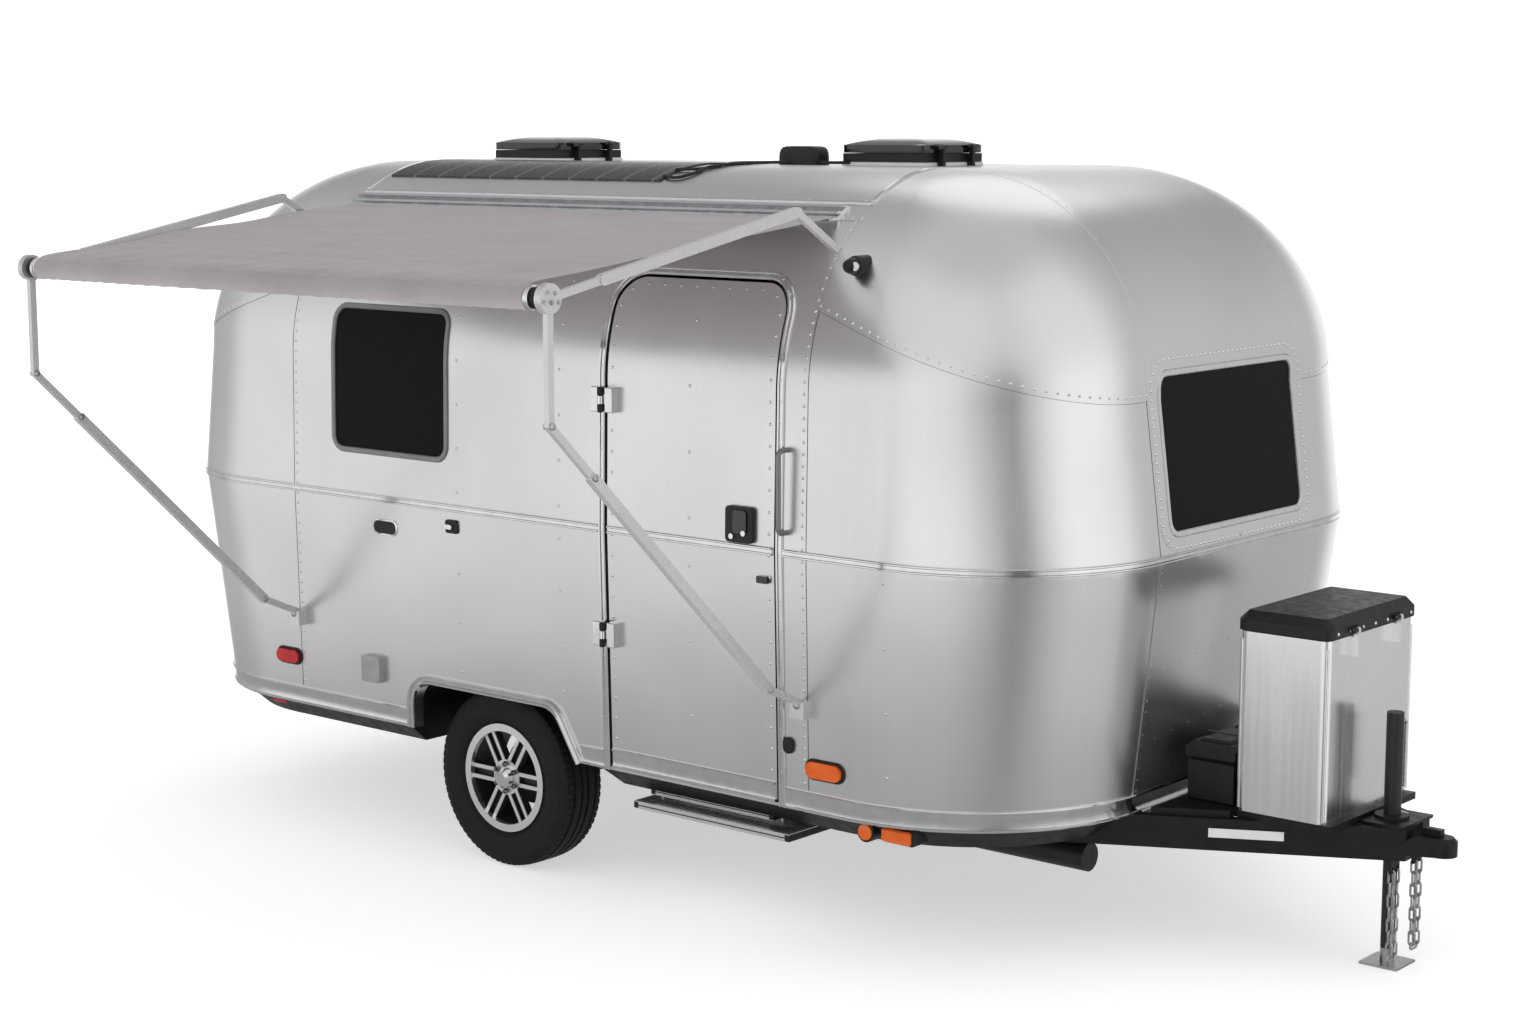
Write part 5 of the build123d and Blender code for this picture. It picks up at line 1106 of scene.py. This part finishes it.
# Roof vents: smoked dome lids, and pale flanges under them
VENT_SKIRT = 0.026
VENT_SHEET = 0.004
VENT_DROP = 0.003
VENT_KNUCKLES = (-0.11, 0.11)
KNUCKLE_HALF = 0.018
KNUCKLE_LAP = 0.006
KNUCKLE_LOW = 0.010
KNUCKLE_HIGH = 0.030
VENT_CORNER = 0.030
VENT_STEPS = (1.0, 0.985, 0.94, 0.86, 0.74, 0.58, 0.40, 0.22, 0.06)
VENT_CURVE = 2.6
VENT_INSIDE = 0.975
FLANGE_INSET = 0.004
FLANGE_THICK = 0.014
flanges = Form("vent_flanges", WHITE_PAINT)
for body in ("vent_front", "vent_rear"):
    node = body.replace("vent_", "vent_lid_")
    vent_low, vent_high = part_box(node)
    vent_wide = vent_high.y - vent_low.y
    flanges.box((vent_low.x + FLANGE_INSET, vent_low.y + FLANGE_INSET, up(ROOF_HEIGHT) - 0.001),
                (vent_low.x + vent_wide - FLANGE_INSET, vent_high.y - FLANGE_INSET, up(ROOF_HEIGHT) + FLANGE_THICK),
                0.003)
    middle = (vent_low + vent_high) / 2
    middle.x = vent_low.x + vent_wide / 2
    outline = finely(rounded_outline(vent_wide, vent_wide, VENT_CORNER))[:-1]
    crown = vent_high.z - vent_low.z - VENT_SKIRT
    tops = [(share, vent_low.z + VENT_SKIRT + crown * (1 - share ** VENT_CURVE)) for share in VENT_STEPS]
    inside = [(share * VENT_INSIDE, z - VENT_SHEET) for share, z in reversed(tops)]
    skirt = vent_low.z - VENT_DROP
    rim = [(VENT_INSIDE, skirt), (0.997, skirt), (1.0, skirt + 0.003)]
    lid = Form(node + "_shape", GLOSS_BLACK, body, [node], 50)
    for across in VENT_KNUCKLES:
        lid.box((vent_low.x + vent_wide - KNUCKLE_LAP, middle.y + across - KNUCKLE_HALF, vent_low.z + KNUCKLE_LOW),
                (vent_high.x, middle.y + across + KNUCKLE_HALF, vent_low.z + KNUCKLE_HIGH), 0.004)
    lid.rings([scaled_ring(outline, middle, scale, z) for scale, z in inside + rim + tops])

# Leads lying on the roof
WIRE_DIAMETER = 0.012
WIRE_HEIGHT = 2.63
WIRES = (
    # name, route: distance ahead and across
    ("panel_lead", ((0.49, -0.71), (0.56, -0.745), (0.62, -0.68), (0.60, -0.58), (0.66, -0.49), (0.70, -0.38),
                    (0.69, -0.27))),
    ("panel_return", ((0.49, -0.64), (0.54, -0.63), (0.60, -0.63), (0.64, -0.54), (0.63, -0.44), (0.71, -0.34),
                      (0.74, -0.27))),
    ("vent_lead", ((0.84, -0.25), (0.88, -0.27), (0.93, -0.24), (0.95, -0.18))),
)
for name, route in WIRES:
    places = settle(np.array([at(x, y, WIRE_HEIGHT) for x, y in route]), WIRE_DIAMETER)
    curve = bpy.data.curves.new(name, "CURVE")
    curve.dimensions = "3D"
    curve.bevel_depth = WIRE_DIAMETER / 2
    curve.bevel_resolution = 3
    spline = curve.splines.new("NURBS")
    spline.points.add(len(places) - 1)
    for point, place in zip(spline.points, places):
        point.co = (*place, 1)
    spline.order_u = 3
    spline.use_endpoint_u = True
    curve.materials.append(BLACK_PLASTIC)
    wire = add_object(name, curve)
    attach(wire, "coach")

# Bright edges and screws of the plate along the roof's right edge
EDGE_STRIP = mirrored((-0.008, 0.0), (-0.008, 0.006), (-0.005, 0.0085))
PLATE_SIDE = -0.85
PLATE_EDGE = 2.550
PLATE_TOP = 2.655
SCREW_HEIGHT = 2.566
SCREW_PITCH = 0.25
SCREW_PROUD = 0.005
plate_edges = Form("plate_edges", TRIM)
plate_edges.strip(settle(lengthwise(-0.995, 1.567, PLATE_SIDE, PLATE_EDGE, 90)), EDGE_STRIP)
for plate_end in (-0.992, 1.567):
    plate_edges.strip(walk(upright_path(plate_end, RIGHT, PLATE_EDGE, PLATE_TOP), MOULDING_STEP), EDGE_STRIP)
plate_screws = Form("plate_screws", CHROME)
plate_screws.rivets(settle(lengthwise(-0.96, 1.53, PLATE_SIDE, SCREW_HEIGHT, 60), SCREW_PROUD), SCREW_PITCH)

# Porch lamp: a round housing with a pale lens turned forward
LAMP_PROFILE = ((0, 0.0338), (0.066, 0.0338), (0.072, 0.0325), (0.075, 0.028), (0.092, 0.0265), (0.108, 0.021),
                (0.117, 0.011), (0.1195, 0.002))
LENS_PROFILE = ((0, 0.015), (0.017, 0.015), (0.021, 0.011), (0.0225, 0.003))
LENS_WAY = (0.75, -0.66, 0)
LENS_AHEAD = 0.008
LENS_IN = 0.034
lamp_low, lamp_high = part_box("porch_lamp")
lamp_middle = (lamp_low + lamp_high) / 2
porch_lamp = Form("porch_lamp_shape", BLACK_PLASTIC, replaced=["porch_lamp"])
porch_lamp.lathe((lamp_middle.x, lamp_high.y, lamp_middle.z), (0, -1, 0), LAMP_PROFILE, 28)
porch_lens = Form("porch_lens", WHITE_PAINT)
porch_lens.lathe((lamp_middle.x + LENS_AHEAD, lamp_low.y + LENS_IN, lamp_middle.z), LENS_WAY, LENS_PROFILE, 20)

# Antenna: a low rounded housing
ANTENNA_STEPS = ((1.0, 0.0), (1.0, 0.45), (0.985, 0.65), (0.94, 0.82), (0.86, 0.93), (0.72, 0.985), (0.4, 1.0))
ANTENNA_CORNER = 0.035
antenna_low, antenna_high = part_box("antenna")
antenna_size = antenna_high - antenna_low
outline = finely(rounded_outline(antenna_size.x, antenna_size.y, ANTENNA_CORNER))[:-1]
antenna = Form("antenna_shape", BLACK_PLASTIC, replaced=["antenna"], sharp=50)
antenna.rings([scaled_ring(outline, (antenna_low + antenna_high) / 2, scale, antenna_low.z + rise * antenna_size.z)
               for scale, rise in ANTENNA_STEPS])

# Entry step: black end caps, grip strips and a dark line along the edge
STEP_TOP = 0.420
STEP_DEEP = 0.230
STEP_THICK = 0.028
STEP_TREADS = (
    # rear end, front end, outer edge, drop
    (0.720, 1.300, 1.050, 0.0),
    (0.690, 1.420, 1.110, 0.044),
)
STEP_CAP = 0.018
STEP_PROUD = 0.0005
GRIP_STRIPS = (0.020, 0.034, 0.048, 0.062)
GRIP_WIDE = 0.004
GRIP_SUNK = 0.004
GRIP_RISE = 0.0012
EDGE_LINE = (0.017, 0.013)
EDGE_LINE_DEEP = 0.01
step_black = Form("step_caps", BLACK_PLASTIC)
for rear, front, outer, drop in STEP_TREADS:
    top = up(STEP_TOP - drop)
    for cap in (rear, front - STEP_CAP):
        step_black.box((ahead(cap) - 0.001, -outer - STEP_PROUD, top - STEP_THICK - STEP_PROUD),
                       (ahead(cap) + STEP_CAP + 0.001, -outer + STEP_DEEP, top - STEP_PROUD), 0.003)
    start, stop = ahead(rear) + STEP_CAP, ahead(front) - STEP_CAP
    for strip in GRIP_STRIPS:
        step_black.box((start, -outer + strip, top - GRIP_SUNK),
                       (stop, -outer + strip + GRIP_WIDE, top + GRIP_RISE), 0.0005)
    step_black.box((start, -outer - STEP_PROUD, top - EDGE_LINE[0]),
                   (stop, -outer + EDGE_LINE_DEEP, top - EDGE_LINE[1]))

# Bolt heads on the awning arms, knobs at their feet
KNOB_FACE = -(WALL_SECTIONS[1][2] + 0.028)
KNOB_HEIGHT = 0.876
KNOB_PROFILE = ((0, 0.012), (0.006, 0.012), (0.009, 0.007))
ARM_PLACES = (1.560, -1.040)
ARM_BOLTS = (
    # across, height
    (-1.390, 0.958),
    (-2.218, 1.751),
    (-2.400, 1.925),
)
ARM_BOLT_PROFILE = ((-0.019, 0.006), (-0.017, 0.011), (0.017, 0.011), (0.019, 0.006))
HEAD_BOLTS = (
    # above, across
    (0.018, 0.0),
    (-0.010, 0.015),
    (-0.010, -0.015),
)
HEAD_BOLT_SUNK = 0.002
HEAD_BOLT_PROFILE = ((0, 0.0075), (0.005, 0.0075), (0.007, 0.005))
arm_bolts = Form("arm_bolts", ZINC, slot="trim")
arms_low, arms_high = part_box("awning_arms")
for arm_x in ARM_PLACES:
    for across, height in ARM_BOLTS:
        arm_bolts.lathe(at(arm_x, across, height), (1, 0, 0), ARM_BOLT_PROFILE, 12)
    arm_bolts.lathe(at(arm_x, KNOB_FACE, KNOB_HEIGHT), (0, -1, 0), KNOB_PROFILE, 14)
for head_x, way in ((arms_low.x, -1), (arms_high.x, 1)):
    for rise, across in HEAD_BOLTS:
        arm_bolts.lathe((head_x - way * HEAD_BOLT_SUNK, roller_middle.y + across, roller_middle.z + rise),
                        (way, 0, 0), HEAD_BOLT_PROFILE, 6)

for form in Form.every:
    form.piece()

# Finishes of the CAD nodes that are kept
dress(SKIN, "roof_side_plate")
dress(MIRROR, "gas_cover")
dress(TRIM, "awning_rail")
dress(SATIN, "entry_step", "awning_arms")
dress(CAST_GREY, "power_inlet")
dress(WINDOW_GREY, "grab_handle")
dress(BLACK_PLASTIC, "door_handle", "gas_lid", "vent_bases", "hose_tube")
dress(GLASS, "window_panes")
dress(SOLAR, "solar_panel")
dress(BLACK_STEEL, "wheel_housings", "belly_pan", "tongue_frame", "coupler", "axle", "stabilisers")
dress(JACK_FINISH, "jack_tube")
dress(LEG_FINISH, "jack_leg")
dress(PLY, "floor_deck")
dress(WHITE_PAINT, "gas_bottles")
dress(AMBER, "amber_lamps")
dress(RED, "red_lamps")
dress(WHEEL_ALLOY, "rim_right", "rim_left")
dress(HUB_FINISH, "hub_right", "hub_left")

# Camera, at the photograph's place
CAMERA_PLACE = (3.705, -7.902, 2.389)
CAMERA_LOOK = (-0.63577, 0.75767, -0.14745)
LENS = 61.31
SENSOR = 36.0


def aim(thing, way):
    """Turns a camera or a light to look along a direction."""
    thing.rotation_euler = Vector(way).to_track_quat("-Z", "Y").to_euler()


camera_data = bpy.data.cameras.new("camera")
camera_data.lens = LENS
camera_data.sensor_width = SENSOR
camera_data.clip_end = 200.0
camera = add_object("camera", camera_data)
camera.location = CAMERA_PLACE
aim(camera, CAMERA_LOOK)
bpy.context.scene.camera = camera

# Floor: a pale disc that fades out at its edge, and a greyer one that only the reflections see
FLOOR_RADIUS = 9.0
FLOOR_SIDES = 64
FLOORS = (
    # name, height, grey, own glow, where it fades, shift ahead and across
    ("floor", 0.0, 0.86, 0.54, (5.0, 8.5), (0.0, 0.0)),
    ("floor_reflected", -0.004, 0.34, 0.0, (2.4, 5.6), (-0.5, -1.2)),
)
disc = [(FLOOR_RADIUS * math.cos(t), FLOOR_RADIUS * math.sin(t), 0) for t in circle(FLOOR_SIDES)]
for name, rise, grey, glow, fade, shift in FLOORS:
    floor_mesh = bpy.data.meshes.new(name)
    floor_mesh.from_pydata(disc, [], [tuple(range(FLOOR_SIDES))])
    floor = add_object(name, floor_mesh)
    floor.location = (ahead(BODY_MIDDLE) + shift[0], shift[1], GROUND + rise)
    material, tree, sockets = new_material(
        name, Base_Color=(grey, grey, grey, 1), Roughness=0.8, Specular_IOR_Level=0.1,
        Emission_Color=(1, 1, 1, 1), Emission_Strength=glow)
    place = add_node(tree, "ShaderNodeTexCoord").outputs["Object"]
    reach = add_node(tree, "ShaderNodeVectorMath", [(0, place)])
    reach.operation = "LENGTH"
    spread(tree, reach.outputs["Value"], sockets["Alpha"], 1.0, 0.0, *fade)
    floor_mesh.materials.append(material)
    seen = rise == 0.0
    floor.visible_glossy = not seen
    floor.visible_camera = floor.visible_diffuse = floor.visible_shadow = seen

# Studio light: a soft surround, brighter and darker by direction
STUDIO_PEAK = 1.3
STUDIO_ROUND = (
    # angle from +X towards +Y in degrees, brightness below, level and above
    (-180, 0.45, 0.52, 0.50),
    (-165, 0.45, 0.50, 0.55),
    (-148, 0.50, 0.84, 0.65),
    (-125, 0.52, 0.98, 0.78),
    (-100, 0.52, 1.03, 0.80),
    (-74, 0.50, 1.00, 0.80),
    (-56, 0.40, 0.68, 0.82),
    (-38, 0.16, 0.14, 0.70),
    (-22, 0.30, 0.78, 0.82),
    (-5, 0.42, 1.12, 0.90),
    (28, 0.30, 1.05, 0.88),
    (50, 0.12, 0.58, 0.62),
    (72, 0.30, 0.54, 0.46),
    (94, 0.90, 1.10, 0.38),
    (112, 1.30, 1.30, 0.36),
    (147, 1.30, 1.30, 0.36),
    (160, 0.60, 0.42, 0.40),
    (180, 0.45, 0.52, 0.50),
)
STUDIO_TOP = 0.58
world = bpy.data.worlds.new("studio")
bpy.context.scene.world = world
world.use_nodes = True
tree = world.node_tree
way = add_node(tree, "ShaderNodeTexCoord").outputs["Generated"]
split = add_node(tree, "ShaderNodeSeparateXYZ", [("Vector", way)])
angle = add_node(tree, "ShaderNodeMath", [(0, split.outputs["Y"]), (1, split.outputs["X"])])
angle.operation = "ARCTAN2"
round_share = add_node(tree, "ShaderNodeMapRange", [("Value", angle.outputs["Value"])],
                       From_Min=-math.pi, From_Max=math.pi).outputs["Result"]


def studio_ring(column):
    """The brightness round one level of the studio, as a colour."""
    ramp = add_node(tree, "ShaderNodeValToRGB", [("Fac", round_share)])
    ramp.color_ramp.interpolation = "EASE"
    elements = ramp.color_ramp.elements
    last = len(STUDIO_ROUND) - 1
    for number, row in enumerate(STUDIO_ROUND):
        place = (row[0] + 180) / 360
        element = elements[0] if number == 0 else elements[-1] if number == last else elements.new(place)
        element.position = place
        element.color = (row[column] / STUDIO_PEAK,) * 3 + (1,)
    return ramp.outputs["Color"]


def studio_blend(below, above, start, stop):
    """Blends two colours between two rises of the view direction."""
    mix = blend(tree, spread(tree, split.outputs["Z"], None, 0.0, 1.0, start, stop))
    tree.links.new(below, mix.inputs["A"])
    if above:
        tree.links.new(above, mix.inputs["B"])
    else:
        mix.inputs["B"].default_value = (STUDIO_TOP / STUDIO_PEAK,) * 3 + (1,)
    return mix.outputs["Result"]


studio = studio_blend(studio_ring(1), studio_ring(2), -0.55, -0.12)
studio = studio_blend(studio, studio_ring(3), 0.07, 0.40)
studio = studio_blend(studio, None, 0.80, 0.97)
background = tree.nodes["Background"]
background.inputs["Strength"].default_value = STUDIO_PEAK
tree.links.new(studio, background.inputs["Color"])
bpy.context.scene.view_settings.view_transform = "Standard"

KEY_PLACE = (-1.0, 4.5)
KEY_HEIGHT = 8.0
KEY_AIM = 1.0
KEY_SIZE = 6.0
KEY_POWER = 70.0
key_data = bpy.data.lights.new("key", "AREA")
key_data.shape = "DISK"
key_data.size = KEY_SIZE
key_data.energy = KEY_POWER
key = add_object("key", key_data)
key.location = at(KEY_PLACE[0], KEY_PLACE[1], KEY_HEIGHT)
aim(key, Vector(at(BODY_MIDDLE, 0, KEY_AIM)) - key.location)
